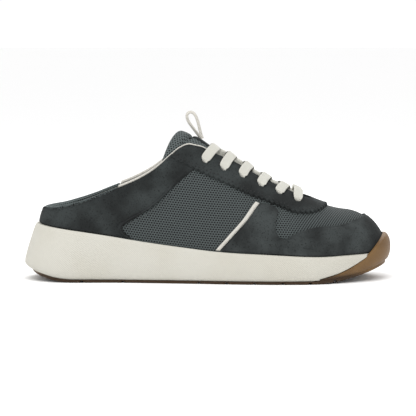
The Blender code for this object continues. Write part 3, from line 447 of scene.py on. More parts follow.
class Finish:
    """A material under construction, with short calls for the nodes that it needs."""

    def __init__(self, name, colour, roughness, sheen=0.0, coat=0.0, gloss=0.35):
        self.made = bpy.data.materials.new(name)
        self.made.use_nodes = True
        self.tree = self.made.node_tree
        self.inputs = self.tree.nodes["Principled BSDF"].inputs
        self.colour = colour
        levels = {"Base Color": colour, "Roughness": roughness, "Specular IOR Level": gloss}
        if sheen:
            levels.update({"Sheen Weight": sheen, "Sheen Roughness": 0.5})
        if coat:
            levels.update({"Coat Weight": coat, "Coat Roughness": 0.35})
        for socket, level in levels.items():
            self.inputs[socket].default_value = level

    def node(self, kind, **settings):
        made = self.tree.nodes.new(kind)
        for key, value in settings.items():
            setattr(made, key, value)
        return made

    def put(self, socket, value):
        if isinstance(value, bpy.types.NodeSocket):
            self.tree.links.new(value, socket)
        else:
            socket.default_value = value

    def calc(self, operation, *values):
        made = self.node("ShaderNodeMath", operation=operation)
        for socket, value in zip(made.inputs, values):
            self.put(socket, value)
        return made.outputs[0]

    def times(self, first, second):
        return self.calc("MULTIPLY", first, second)

    def plus(self, first, second):
        return self.calc("ADD", first, second)

    def less(self, first, second):
        return self.calc("SUBTRACT", first, second)

    def parts(self, vector):
        split = self.node("ShaderNodeSeparateXYZ")
        self.put(split.inputs[0], vector)
        return split.outputs

    def place(self):
        """Coordinates on the object, in metres."""
        return self.node("ShaderNodeTexCoord").outputs["Object"]

    def cloth_place(self):
        """Coordinates along the fabric, in millimetres."""
        return self.parts(self.node("ShaderNodeUVMap", uv_map="mm").outputs[0])[:2]

    def noise(self, scale, detail=2.0):
        made = self.node("ShaderNodeTexNoise")
        made.inputs["Scale"].default_value = scale
        made.inputs["Detail"].default_value = detail
        self.put(made.inputs["Vector"], self.place())
        return made.outputs[0]

    def ribs(self, along, pitch):
        """A wave of this pitch along a fabric coordinate."""
        return self.calc("SINE", self.times(along, 2 * math.pi / pitch))

    def ramp(self, value, low, high, start=0.0, end=1.0):
        """A value from low..high, stretched softly over start..end."""
        made = self.node("ShaderNodeMapRange", interpolation_type="SMOOTHSTEP")
        for socket, part in zip(made.inputs, (value, low, high, start, end)):
            self.put(socket, part)
        return made.outputs[0]

    def tint(self, share, other, base=None):
        """The base colour, turned to the other one by this share."""
        made = self.node("ShaderNodeMix", data_type="RGBA")
        for k, value in ((0, share), (6, self.colour if base is None else base), (7, other)):
            self.put(made.inputs[k], value)
        return made.outputs[2]

    def finish(self, colour, height, depth, roughness=None):
        """Links colour, bump and, where it varies, roughness. depth is the bump's in metres."""
        self.put(self.inputs["Base Color"], colour)
        if roughness is not None:
            self.put(self.inputs["Roughness"], roughness)
        bump = self.node("ShaderNodeBump")
        bump.inputs["Strength"].default_value = 1.0
        bump.inputs["Distance"].default_value = depth
        self.put(bump.inputs["Height"], height)
        self.put(self.inputs["Normal"], bump.outputs[0])
        return self.made


print("mid grey in linear light: %.3f" % linear(128)[0])

# %% [markdown]
# Suede
# Suede is leather with its fibres raised. Fingers leave broad clouds where the nap lies another
# way, and single fibres show as fine dark and light specks. Three noises of very different scale
# give this. It scatters light, so its gloss is nearly nothing.

# %% Suede
def suede_finish(name, colour, light, dark):
    work = Finish(name, colour, 0.92, sheen=0.03, gloss=0.05)
    clouds, fibres, grains = work.noise(38.0, 3.0), work.noise(900.0, 4.0), work.noise(2600.0, 2.0)
    shade = work.tint(work.ramp(clouds, 0.35, 0.68), light)
    shade = work.tint(work.ramp(fibres, 0.52, 0.75, 0.0, 0.75), dark, shade)
    shade = work.tint(work.ramp(grains, 0.60, 0.80, 0.0, 0.5), light, shade)
    return work.finish(shade, work.plus(work.times(fibres, 0.7), work.times(grains, 0.4)), 0.00025)


SUEDE_DARK = suede_finish("suede_charcoal", linear(35, 37, 37), linear(53, 57, 57), linear(14, 15, 15))
SUEDE_TOE = suede_finish("suede_toe", linear(38, 40, 40), linear(60, 64, 64), linear(17, 18, 18))
print("suedes:", SUEDE_DARK.name, SUEDE_TOE.name)

# %% [markdown]
# Knitted mesh
# The upper, the tongue and the collar are an open knit: yarn round staggered holes. Each fabric
# place is put into a cell of the pattern, and its distance from the cell's middle says hole or
# yarn. The holes are not cut: they are painted nearly black, as painted shade. Over the toe the
# knit is drawn out, and its yarn closes to slanting ribs.

# %% Knitted mesh
ROW_SHARE = 0.866


def holes(work, pitch):
    """Rows of round holes, every other row moved by half a pitch: 0 in a hole, 1 between."""
    along, up = work.cloth_place()
    u, v = work.calc("DIVIDE", along, pitch), work.calc("DIVIDE", up, pitch * ROW_SHARE)
    shift = work.times(work.calc("MODULO", work.calc("FLOOR", v), 2.0), 0.5)
    cells = [work.less(work.calc("FRACT", k), 0.5) for k in (work.plus(u, shift), v)]
    away = work.plus(*[work.calc("POWER", work.calc("ABSOLUTE", k), 2.0) for k in cells])
    return work.ramp(work.calc("SQRT", away), 0.22, 0.42)


def drawn_out(work, pitch, open_share, start, end):
    """The knit's ribs on the slant between the holes, faded in from start to end along X."""
    along, up = work.cloth_place()
    slant = work.less(along, work.calc("DIVIDE", up, 3**0.5))
    line = work.calc("FRACT", work.less(work.calc("DIVIDE", slant, pitch), 0.25))
    ribs = work.ramp(work.calc("ABSOLUTE", work.less(line, 0.5)), 0.12, 0.40, 1.0, 0.12)
    share = work.ramp(work.parts(work.place())[0], start, end, 0.0, 0.8)
    return work.plus(work.times(open_share, work.less(1.0, share)), work.times(ribs, share))


def mesh_finish(name, yarn, hole, pitch, drawn=None):
    """Yarn round holes, with a flecked, slightly shiny thread."""
    work = Finish(name, yarn, 0.78, sheen=0.05, gloss=0.12)
    open_share = holes(work, pitch)
    if drawn:
        open_share = drawn_out(work, pitch, open_share, *drawn)
    flecks = work.noise(1500.0, 3.0)
    bright = [level * 1.7 for level in yarn[:3]] + [1.0]
    shade = work.tint(work.ramp(flecks, 0.35, 0.7, 0.0, 0.35), bright)
    # Painted shade: the holes are not cut, and their near-black colour stands for the shade inside
    # them.
    shade = work.tint(work.less(1.0, open_share), hole, shade)
    return work.finish(shade, work.plus(open_share, work.times(flecks, 0.35)), 0.00045)


DRAWN = (0.058, 0.082)
MESH = mesh_finish("mesh_grey", linear(69, 75, 75), linear(14, 15, 15), 2.15, DRAWN)
MESH_TONGUE = mesh_finish("mesh_tongue", linear(84, 91, 91), linear(9, 10, 10), 2.4)
MESH_COLLAR = mesh_finish("mesh_collar", linear(88, 96, 96), linear(26, 28, 28), 2.0)
print("meshes:", MESH.name, MESH_TONGUE.name, MESH_COLLAR.name)

# %% [markdown]
# Cloth, tapes and thread
# The lining and the footbed are plain weaves, whose two sets of ribs cross. A lace is woven in two
# bands that meet in a herringbone. Binding and piping are corded tapes, ribbed square to their
# length. Waves along the fabric's own coordinates make all of them, at their real pitch, and their
# colour darkens in each wave's low part, as painted shade.

# %% Cloth, tapes and thread
def cloth_finish(name, colour, dark, pitch):
    work = Finish(name, colour, 0.85, sheen=0.15)
    along, up = work.cloth_place()
    weave = work.times(work.ribs(along, pitch), work.ribs(up, pitch))
    # Painted shade: the colour darkens where the weave is low, in its troughs.
    return work.finish(work.tint(work.ramp(weave, -1.0, 0.2, 0.7, 0.0), dark), weave, 0.00018)


def lace_finish(name, colour, dark):
    work = Finish(name, colour, 0.8, sheen=0.2)
    along, over = work.cloth_place()
    slant = work.plus(along, work.times(work.calc("ABSOLUTE", over), 0.9))
    height = work.plus(work.ribs(slant, 1.05), work.times(work.ribs(over, 0.9), 0.4))
    # Painted shade: the colour darkens in the herringbone's low grooves.
    return work.finish(work.tint(work.ramp(height, -1.2, 0.1, 0.55, 0.0), dark), height, 0.00016)


def ribbed_finish(name, colour, dark, pitch):
    work = Finish(name, colour, 0.7, sheen=0.2)
    ribs = work.ribs(work.cloth_place()[0], pitch)
    # Painted shade: the colour darkens in the troughs between the ribs.
    return work.finish(work.tint(work.ramp(ribs, -1.0, 0.3, 0.6, 0.0), dark), ribs, 0.00015)


def thread_finish(name, colour, dark):
    work = Finish(name, colour, 0.7, sheen=0.1)
    twist = work.noise(2400.0, 2.0)
    return work.finish(work.tint(work.ramp(twist, 0.4, 0.7, 0.0, 0.6), dark), twist, 0.0001)


LINING = cloth_finish("lining_offwhite", linear(204, 203, 195), linear(168, 165, 154), 1.2)
FOOTBED = cloth_finish("footbed_cloth", linear(44, 46, 47), linear(30, 32, 33), 1.0)
LACE = lace_finish("lace_offwhite", linear(206, 205, 196), linear(160, 157, 143))
BINDING = ribbed_finish("binding_white", linear(208, 205, 197), linear(148, 143, 133), 1.1)
PIPING = ribbed_finish("piping_white", linear(208, 205, 197), linear(172, 168, 158), 0.9)
THREAD = thread_finish("thread_charcoal", linear(62, 66, 66), linear(36, 38, 38))
# Painted shade: the pinholes are not cut. Near-black discs on the suede stand for the shade in them.
PINHOLE_SHADE = thread_finish("pinhole_shade", linear(12, 13, 13), linear(8, 8, 8))
print("trims:", LINING.name, LACE.name, BINDING.name, PIPING.name)

# %% [markdown]
# Foam and rubber
# The midsole is moulded foam. Its mould leaves faint slanting ribs, and its skin has tiny pits.
# The outsole is gum rubber, slightly cloudy and matt. Along the ground it is darkened to a deep
# brown as painted shade, for the shadow on the strip that lies recessed under the foam. A ramp
# over the height puts the painted shade there.

# %% Foam and rubber
def foam_finish(name, colour, warm):
    work = Finish(name, colour, 0.55)
    along, up = work.cloth_place()
    ribs = work.ribs(work.plus(along, work.times(up, 1.1)), 1.9)
    pits, clouds = work.noise(1700.0, 2.0), work.noise(22.0, 2.0)
    shade = work.tint(work.ramp(clouds, 0.35, 0.7, 0.0, 0.8), warm)
    height = work.plus(work.times(ribs, 0.5), work.times(pits, 0.6))
    return work.finish(shade, height, 0.00012, work.ramp(pits, 0.3, 0.7, 0.50, 0.66))


def gum_finish(name, colour, dark, ground_shade):
    work = Finish(name, colour, 0.5, coat=0.05, gloss=0.25)
    clouds, grain = work.noise(60.0, 3.0), work.noise(1400.0, 3.0)
    shade = work.tint(work.ramp(clouds, 0.35, 0.7), dark)
    # Painted shade: below about 9 mm the gum turns dark brown, for the shadow on the recessed strip.
    low = work.ramp(work.parts(work.place())[2], 0.0042, 0.0088, 0.95, 0.0)
    shade = work.tint(low, ground_shade, shade)
    return work.finish(shade, grain, 0.00012, work.ramp(grain, 0.3, 0.7, 0.42, 0.62))


FOAM = foam_finish("foam_offwhite", linear(188, 186, 177), linear(182, 179, 168))
# The last colour is the painted shade along the ground.
GUM = gum_finish("gum_rubber", linear(107, 80, 45), linear(95, 70, 40), linear(50, 33, 15))
print("finishes made:", len(bpy.data.materials))

# %% [markdown]
# Skins
# Most pieces are skins through a grid of points: rows along the piece, columns round its section.
# One maker turns such a grid into a closed, smooth mesh. Double points are joined afterwards, so
# that a row may shrink to a point without a hole or a fold.

# %% Skins
def skin(name, grid, finishes, place=None, ring=False, caps=False, chosen=None, sharp=35.0):
    """A mesh over a grid of points (rows, columns, 3) whose columns go round a closed section.
    ring joins the last row to the first, caps fills both ends. place holds each point's fabric
    coordinates. chosen gives the finish's number for each column of faces."""
    rows, columns = grid.shape[:2]
    i = np.arange(rows if ring else rows - 1)[:, None]
    j = np.arange(columns)[None, :]
    after, beside_j = (i + 1) % rows, (j + 1) % columns
    quads = np.stack([i * columns + j, i * columns + beside_j, after * columns + beside_j,
                      after * columns + j], axis=-1).reshape(-1, 4)
    faces = quads.tolist()
    if caps:
        faces.append(list(range(columns)))
        faces.append(list(range((rows - 1) * columns, rows * columns))[::-1])
    mesh = bpy.data.meshes.new(name)
    mesh.from_pydata(grid.reshape(-1, 3).tolist(), [], faces)
    if chosen is not None:
        numbers = np.zeros(len(faces), dtype=np.int32)
        numbers[:len(quads)] = np.tile(chosen, len(i))
        mesh.polygons.foreach_set("material_index", numbers)
    layer = mesh.uv_layers.new(name="mm")
    if place is not None:
        corners = np.zeros(len(mesh.loops), dtype=np.int32)
        mesh.loops.foreach_get("vertex_index", corners)
        layer.data.foreach_set("uv", place.reshape(-1, 2)[corners].astype(np.float32).ravel())
    return settle(name, mesh, finishes, sharp)


def settle(name, mesh, finishes, sharp=35.0):
    """Joins double points, turns faces outwards, and puts the mesh in the scene."""
    work = bmesh.new()
    work.from_mesh(mesh)
    bmesh.ops.remove_doubles(work, verts=work.verts, dist=1e-6)
    bmesh.ops.recalc_face_normals(work, faces=work.faces)
    work.to_mesh(mesh)
    work.free()
    for finish in finishes if isinstance(finishes, list) else [finishes]:
        mesh.materials.append(finish)
    mesh.shade_smooth()
    mesh.set_sharp_from_angle(angle=math.radians(sharp))
    return placed(name, mesh)


def placed(name, mesh):
    made = bpy.data.objects.new(name, mesh)
    made.location.y = SHIFT
    bpy.context.scene.collection.objects.link(made)
    return made


def stand_for(piece, slot, *nodes):
    """The piece rides on the shoe and takes the place of the frame's plain solids."""
    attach(piece, "root")
    if nodes:
        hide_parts(*nodes)
    print("%s: %d faces" % (piece.name, len(piece.data.polygons)))
    return piece


print("a skin takes its finish from one of", len(bpy.data.materials))

# %% [markdown]
# Measuring on the surface
# Cloth is cut by lengths along the surface, not by coordinates. These helpers give the surface's
# direction at a place, the running length of a grid, and each point's fabric coordinates.

# %% Measuring on the surface
def unit(vectors):
    return vectors / np.linalg.norm(vectors, axis=-1, keepdims=True)


def surface_normal(ring, angle):
    step = 0.003
    along = on_last(ring + step, angle) - on_last(ring - step, angle)
    climb = on_last(ring, angle + step) - on_last(ring, angle - step)
    return unit(np.cross(climb, along) * -1.0)


def length_along(points, axis):
    """Running length of a grid of points along one axis."""
    steps = np.linalg.norm(np.diff(points, axis=axis), axis=-1)
    start = np.zeros_like(np.take(steps, [0], axis=axis))
    return np.concatenate([start, np.cumsum(steps, axis=axis)], axis=axis)


def dip(distance, width):
    """1 on a line, falling softly to 0 at a width from it."""
    return np.exp(-(distance / width) ** 2)


def fabric_place(points):
    """Fabric coordinates: along the shoe, and up the wall from its foot, in millimetres."""
    return np.stack([points[..., 0], length_along(points, 1)], axis=-1) / MM


print("the toe faces", surface_normal(1.0, QUARTER_TURN / 2).round(2))

# %% [markdown]
# Panels
# A panel of suede is a sheet between two distances from the last. Its cut edges are rounded off,
# and it dips along the seams, where the thread pulls it down, and at folds beside its ends.

# %% Panels
SEAM_IN = 0.0024
SEAM_DEPTH = 0.0004
SEAM_SOFT = 0.0008
FOLD_SOFT = 0.0011
EDGE_DROP = 0.55
EDGE_ROUND = 0.0007


def panel(name, place, along, across, finish, top, round_off=EDGE_ROUND, seams=(), folds=()):
    """A sheet on the last. place(u, v) gives ring and angle. seams name the edges, low or high,
    with a seam beside them, and folds are distances from the ends, with their depths."""
    u = np.linspace(0, 1, along + 1)[:, None]
    t = np.linspace(0, 1, across + 1)[None, :]
    v = mix(t, (1 - np.cos(np.pi * t)) / 2, 0.75)
    ring, angle = np.broadcast_arrays(*place(u, v))
    base = on_last(ring, angle)
    low, run = length_along(base, 1), length_along(base, 0)
    high = low[:, -1:] - low
    from_end = np.minimum(run, run[-1:] - run)
    edge = np.minimum(np.minimum(low, high), from_end)
    grow = top - EDGE_DROP * top * np.maximum(1 - edge / round_off, 0) ** 2
    for seam in seams:
        grow = grow - SEAM_DEPTH * dip({"low": low, "high": high}[seam] - SEAM_IN, SEAM_SOFT)
    for distance, depth in folds:
        grow = grow - depth * dip(from_end - distance, FOLD_SOFT)
    outer, inner = on_last(ring, angle, grow), on_last(ring, angle)
    grid = np.concatenate([outer, inner[:, ::-1]], axis=1)
    cloth = fabric_place(outer)
    return skin(name, grid, finish, np.concatenate([cloth, cloth[:, ::-1]], axis=1), caps=True)


print("a panel's edge is rounded over %.1f mm" % (EDGE_ROUND / MM))

# %% [markdown]
# The sole's sections
# Around the shoe the sole's side changes: it flares behind the heel, falls nearly straight along
# the flanks, and turns up into a gum bumper at the toe. One set of five sizes describes its
# section, and is blended from heel to toe.

# %% The sole's sections
SIDE_FLARE = 0.0060
OUTSOLE = 0.0025
OUTSOLE_INSET = 0.0010
BUMPER = 0.0030
BUMPER_HEIGHT = 0.037
FOAM_RIM = 0.0013
SoleSide = namedtuple("SoleSide", "bulge tuck lip belt bow")
SOLE_HEEL = SoleSide(HEEL_SETBACK, 0.0055, 0.0040, 0.12, 1.20)
SOLE_FLANK = SoleSide(SIDE_FLARE, 0.0012, 0.0026, 0.20, 1.60)
SOLE_TOE = SoleSide(TOE_SETBACK, 0.0042, SUEDE + SEAT + 2 * GAP + BUMPER, 0.48, 2.60)
HEEL_FADE = 0.36
TOE_FADE = (0.68, 0.83)
HEEL_ROCKER = 0.0105
HEEL_ROCKER_LENGTH = 0.045
HEEL_ROCKER_POWER = 2.4
TOE_SPRING = 0.0145
TOE_SPRING_LENGTH = 0.070
TOE_SPRING_POWER = 2.05
Edge = namedtuple("Edge", "share height")
BUMPER_EDGE = [
    Edge(0.800, 0.100), Edge(0.850, 0.211), Edge(0.885, 0.330), Edge(0.911, 0.446),
    Edge(0.931, 0.543), Edge(0.946, 0.630), Edge(0.968, 0.797), Edge(0.992, 0.960),
    Edge(1.000, 1.000),
]
BUMPER_LINE = smooth_line(BUMPER_EDGE)


def ground_z(x):
    """The sole's underside: flat, turning up at the heel's back and under the toe."""
    heel = np.maximum(-LENGTH / 2 + HEEL_ROCKER_LENGTH - x, 0.0) / HEEL_ROCKER_LENGTH
    toe = np.maximum(x - LENGTH / 2 + TOE_SPRING_LENGTH, 0.0) / TOE_SPRING_LENGTH
    return HEEL_ROCKER * heel**HEEL_ROCKER_POWER + TOE_SPRING * toe**TOE_SPRING_POWER


def sole_mix(ring, name):
    a, _ = half_ring(ring)
    toe = ease((a - TOE_FADE[0]) / (TOE_FADE[1] - TOE_FADE[0]))
    flank = getattr(SOLE_FLANK, name)
    heel_side = mix(flank, getattr(SOLE_HEEL, name), 1 - ease(a / HEEL_FADE))
    return mix(heel_side, getattr(SOLE_TOE, name), toe)


def beside(ring, out):
    x, y = outline(ring)
    nx, ny = outward(ring)
    return x + nx * out, y + ny * out


def midsole_under(ring):
    x, _ = beside(ring, sole_mix(ring, "bulge") - sole_mix(ring, "tuck"))
    return ground_z(x) + OUTSOLE


def foam_top(ring):
    return sole_top(share_of(outline(ring)[0]))


def bumper_z(ring):
    share = share_of(outline(ring)[0])
    under = midsole_under(ring)
    return np.where(share < BUMPER_EDGE[0].share, under,
                    np.maximum(BUMPER_HEIGHT * BUMPER_LINE(share), under))


def side_top(ring):
    return np.maximum(foam_top(ring), bumper_z(ring))


def lean_out(ring, height):
    fx, fy = outline(ring)
    nx, ny = outward(ring)
    point = on_last(ring, angle_at_height(ring, height))
    return (point[..., 0] - fx) * nx + (point[..., 1] - fy) * ny


print("heel stack %.0f mm" % (foam_top(0.0) / MM))

# %% [markdown]
# The sole's side
# From the ground up the side rounds out over a belt, bulges, and comes back to the lip under the
# suede. The whole shoe is centred on its widest section, so its shift is worked out here too.

# %% The sole's side
def side_out(ring, z):
    """How far the sole's side stands out from the last's foot at this height."""
    low, high = midsole_under(ring), side_top(ring)
    k = np.clip((z - low) / (high - low), 0.0, 1.0)
    bulge, belt = sole_mix(ring, "bulge"), sole_mix(ring, "belt")
    below = np.clip(1 - k / belt, 0, 1)
    round_low = bulge - sole_mix(ring, "tuck") * (1 - np.sqrt(1 - below**2))
    lip = sole_mix(ring, "lip") + lean_out(ring, high)
    upper = mix(bulge, lip, np.clip((k - belt) / (1 - belt), 0, 1) ** sole_mix(ring, "bow"))
    return np.where(k < belt, round_low, upper)


def bumper_back(ring, z):
    return np.maximum(side_out(ring, z) - BUMPER, FOAM_RIM + GAP)


rings = np.linspace(0, 2, 400, endpoint=False)
sides = beside(rings, sole_mix(rings, "bulge"))[1]
SHIFT = -(sides.min() + sides.max()) / 2
bumper_ring = math.acos(1 - 2 * BUMPER_EDGE[0].share) / math.pi
meet_ring = float(bisect(lambda a: bumper_z(a) < foam_top(a), 0.7, 1.0))
print("shoe is centred by %.1f mm; bumper starts at ring %.3f" % (SHIFT / MM, bumper_ring))

# %% [markdown]
# Rows for the sole
# The midsole and the outsole are lofted: each row goes round the whole shoe, and the rows follow
# each other round the section, from the middle of the floor out, up the side, and back.

# %% Rows for the sole
HALF_RINGS = np.unique(np.concatenate([np.linspace(0, 1, 221), [bumper_ring, meet_ring]]))
SOLE_RINGS = np.concatenate([HALF_RINGS, 2 - HALF_RINGS[-2:0:-1]])
FLOOR_SHARES = (0.0, 0.42, 0.76, 1.0)


def floor_row(rings, out, share, z_of):
    ex, ey = beside(rings, out)
    top = spine_share(rings)
    x, y = mix(place_of(top), ex, share), mix(centre_y(top), ey, share)
    return np.stack([x, y, z_of(x)], axis=-1)


def side_row(rings, out, height):
    x, y = beside(rings, out)
    return np.stack([x, y, np.broadcast_to(height, x.shape)], axis=-1)


def wall_row(rings, grow, share):
    height = mix(seat_z(share_of(outline(rings)[0])), foam_top(rings), share)
    return on_last(rings, angle_at_height(rings, height, grow), grow)


def sole_coordinates(rows):
    """Fabric coordinates for a sole: along its outline, and up its section."""
    grid = np.stack(rows)
    along = length_along(grid, 1).max(axis=0)
    up = length_along(grid, 0)
    return np.stack([np.broadcast_to(along, up.shape), up], axis=-1) / MM


def lofted(name, rows, finishes, chosen=None):
    """A skin from rows that each go round the shoe. Its section is closed by the last row."""
    grid = np.stack(rows).transpose(1, 0, 2)
    place = sole_coordinates(rows).transpose(1, 0, 2)
    return skin(name, grid, finishes, place, ring=True, chosen=chosen)


print("points round the sole:", len(SOLE_RINGS))

# %% [markdown]
# Midsole
# The midsole is one moulding with thin chamfers where the mould opens, along its top and bottom
# edge. Behind the bumper it steps back to make room for the gum.

# %% Midsole
CHAMFER = 0.0009
FOAM_FLOOR = (0.0, 0.1, 0.25, 0.45, 0.7, 1.0)
FOAM_FACE = (0.0, 0.03, 0.055, 0.1, 0.18, 0.28, 0.4, 0.52, 0.64, 0.76, 0.86, 0.925, 0.965, 1.0)


def build_midsole():
    rings = SOLE_RINGS
    under, top = midsole_under(rings), foam_top(rings)
    step = np.minimum(bumper_z(rings), top)

    def recess(z):
        return bumper_back(rings, z) - GAP

    def face(share, chamfer):
        height = mix(step, top, share)
        here, back = side_out(rings, height), recess(height)
        return side_row(rings, back + np.minimum(here - back - chamfer, 1.5 * (top - step)), height)

    rows = [floor_row(rings, recess(under), k, lambda x: ground_z(x) + OUTSOLE)
            for k in FLOOR_SHARES[:-1]]
    for share in FOAM_FLOOR:
        height = mix(under, step, share)
        rows.append(side_row(rings, recess(height), height))
    for share in FOAM_FACE:
        rows.append(face(share, CHAMFER * max(dip(share, 0.03), dip(1 - share, 0.025))))
    rows += [wall_row(rings, GAP, share) for share in (1.0, 0.5, 0.0)]
    rows += [floor_row(rings, GAP, k, lambda x: seat_z(share_of(x)) - GAP)
             for k in FLOOR_SHARES[2::-1]]
    return lofted("midsole_foam", rows, FOAM)


stand_for(build_midsole(), "foam", "midsole")

# %% [markdown]
# Outsole
# The gum outsole is a thin plate, which turns up over the toe as a bumper let into the foam. Its
# edge stands in from the foam's by a millimetre, and not at the bumper, where they are flush.

# %% Outsole
GUM_FLOOR = (0.0, 0.2, 0.42, 0.6, 0.76, 0.9, 1.0)
GUM_FACE = (0.0, 0.08, 0.18, 0.3, 0.42, 0.54, 0.65, 0.76, 0.86, 0.94, 0.985, 1.0)
GUM_BACK = (1.0, 0.7, 0.45, 0.25, 0.1, 0.0)
GUM_EDGE_ROUND = 0.0006


def build_outsole():
    rings = SOLE_RINGS
    a, _ = half_ring(rings)
    inset = OUTSOLE_INSET * (1 - ease((a - bumper_ring + 0.10) / 0.10))
    low, brink = midsole_under(rings) - GAP, bumper_z(rings) - GAP
    edge = sole_mix(rings, "bulge") - sole_mix(rings, "tuck") - inset
    rows = [floor_row(rings, edge, k, ground_z) for k in GUM_FLOOR]
    for share in GUM_FACE:
        height = mix(low, brink, share)
        soft = GUM_EDGE_ROUND * (dip(1 - share, 0.02) if share > 0.5 else 0.0)
        rows.append(side_row(rings, side_out(rings, height) - inset - soft, height))
    for share in GUM_BACK:
        height = mix(low, brink, share)
        above_foam = height > foam_top(rings)
        out = np.where(above_foam, side_out(rings, height) - BUMPER, bumper_back(rings, height))
        rows.append(side_row(rings, out, height))
    inner = bumper_back(rings, low)
    rows += [floor_row(rings, inner, k, lambda x: ground_z(x) + OUTSOLE - GAP)
             for k in FLOOR_SHARES[2::-1]]
    return lofted("outsole_gum", rows, GUM)


outsole = stand_for(build_outsole(), "gum", "outsole")

# %% [markdown]
# Cutting, and the sole's grooves
# Narrow grooves run across the gum. A boolean cuts them, as a cutter would: the bars are made as
# one mesh, taken out of the piece, and thrown away. The same call will cut the eyelets.

# %% Cutting, and the sole's grooves
GROOVE_WIDTH = 0.0024
GROOVE_DEPTH = 0.0014
GROOVE_SHARES = [0.125, 0.243, 0.46, 0.54, 0.62, 0.70, 0.778, 0.85]


def pins_from(name, work):
    mesh = bpy.data.meshes.new(name)
    work.to_mesh(mesh)
    work.free()
    return placed(name, mesh)


def cut_away(piece, pins):
    """Cuts the pins' shapes out of the piece, for good, and removes the pins."""
    before = len(piece.data.polygons)
    step = piece.modifiers.new("cut", "BOOLEAN")
    step.operation, step.solver, step.object = "DIFFERENCE", "EXACT", pins
    bpy.context.view_layer.update()
    graph = bpy.context.evaluated_depsgraph_get()
    cut = bpy.data.meshes.new_from_object(piece.evaluated_get(graph))
    piece.modifiers.remove(step)
    piece.data = cut
    bpy.data.objects.remove(pins)
    print("%s: %d faces before the cut, %d after" % (piece.name, before, len(cut.polygons)))


def groove_pins():
    """One mesh of eight bars, each square to the ground under it."""
    work = bmesh.new()
    for share in GROOVE_SHARES:
        x = place_of(share)
        slope = math.atan((ground_z(x + 0.002) - ground_z(x - 0.002)) / 0.004)
        turned = Matrix.Translation((x, 0.0, float(ground_z(x)))) @ Matrix.Rotation(-slope, 4, "Y")
        size = Matrix.Diagonal((GROOVE_WIDTH, 2 * BALL_WIDTH, 2 * GROOVE_DEPTH, 1.0))
        bmesh.ops.create_cube(work, size=1.0, matrix=turned @ size)
    return pins_from("groove_pins", work)


cut_away(outsole, groove_pins())

# %% [markdown]
# The rim's table
# Many pieces ask where the rim is, so its angle is worked out once and read from a table. The
# corner between collar and throat is rounded off there, as the suede's edge is on the real shoe.

# %% The rim's table
tight = THROAT_FRONT - np.array([0.0002, 0.0008, 0.002, 0.0035, 0.0055, 0.008])
open_rings = np.unique(np.concatenate([np.linspace(0, THROAT_FRONT, 190), tight]))
shut_rings = np.linspace(THROAT_FRONT, 1, 70)[1:]
HALF_UPPER = np.concatenate([open_rings, shut_rings])
UPPER_RINGS = np.concatenate([HALF_UPPER, 2 - HALF_UPPER[-2:0:-1]])
table_rings = np.linspace(0, THROAT_FRONT - 1e-5, 700)
CORNER_ROUND = 0.011
CORNER_LIFT = 0.020


def rounded(rings):
    """The rim's angles, with the corner between collar and throat rounded off."""
    angles = rim_angle(rings)
    corner = table_rings[np.argmax(share_of(on_last(rings, angles)[..., 0]) > THROAT_TOP_SHARE)]
    shifts = np.linspace(-CORNER_ROUND, CORNER_ROUND, 9)
    soft = np.mean([np.interp(table_rings + k, table_rings, angles) for k in shifts], axis=0)
    lift = CORNER_LIFT * dip(table_rings - corner - CORNER_ROUND, CORNER_ROUND)
    return mix(angles, soft, dip(table_rings - corner, 2 * CORNER_ROUND)) + lift


RIM_LATERAL = rounded(table_rings)
RIM_MEDIAL = rounded(2 - table_rings)
foot_rings = np.linspace(0, 2, 801)
FOOT_ANGLES = angle_at_height(foot_rings, foam_top(foot_rings) + 2 * GAP)


def rim(ring):
    """The rim's angle, read from the table of its side."""
    a, side = half_ring(ring)
    lateral, medial = np.interp(a, table_rings, RIM_LATERAL), np.interp(a, table_rings, RIM_MEDIAL)
    return np.where(a < THROAT_FRONT, np.where(side < 0, lateral, medial), QUARTER_TURN)


def ring_at_rim(share):
    return float(bisect(
        lambda a: share_of(on_last(a, rim(a))[..., 0]) < share, 0.0, THROAT_FRONT - 1e-4))


def foot_angle(ring):
    return np.interp(np.mod(ring, 2), foot_rings, FOOT_ANGLES)


def rim_margin(ring, distance):
    """The angle this far below the rim."""
    return angle_at_height(ring, on_last(ring, rim(ring))[..., 2] - distance)


print("rings of the upper:", len(UPPER_RINGS))

# %% [markdown]
# The upper's shell
# The shell is knitted mesh outside and a pale lining inside, with foam between them round the
# heel, so its inner skin swells below the rim there. It is one closed skin: up the outside, over
# the rim and down the inside.

# %% The upper's shell
COLLAR_PAD = 0.0042
COLLAR_PAD_DROP = 0.010
COLLAR_PAD_RINGS = 0.50
WALL_ROWS = 44


def build_upper():
    rings = UPPER_RINGS[:, None]
    share = np.linspace(0, 1, WALL_ROWS + 1)[None, :]
    share = mix(share, np.sin(share * QUARTER_TURN), 0.45)
    angle = rim(rings) * share
    outer = on_last(rings, angle)
    below = length_along(outer[:, ::-1], 1)[:, ::-1]
    a, _ = half_ring(rings)
    pad = COLLAR_PAD * ease((COLLAR_PAD_RINGS - a) / COLLAR_PAD_RINGS)
    swell = pad * np.sin(np.pi * np.clip(below / (2.6 * COLLAR_PAD_DROP), 0, 1)) ** 1.3
    inner = on_last(rings, angle, -WALL - swell)
    grid = np.concatenate([outer, inner[:, ::-1]], axis=1)
    place = fabric_place(outer)
    place = np.concatenate([place, place[:, ::-1]], axis=1)
    chosen = np.array([0] * WALL_ROWS + [1] * (WALL_ROWS + 2), dtype=np.int32)
    return skin("upper_shell", grid, [MESH, LINING], place, ring=True, chosen=chosen)


upper = stand_for(build_upper(), "mesh", "upper")

# %% [markdown]
# Pinked edges
# The maker pinks the suede's edges, so they are cut in small teeth, and each tooth is eight steps
# of the grid long. Depths are given in metres, and a helper turns them into angles on the last.
# Panels are drawn on the lateral side and mirrored in the ring.

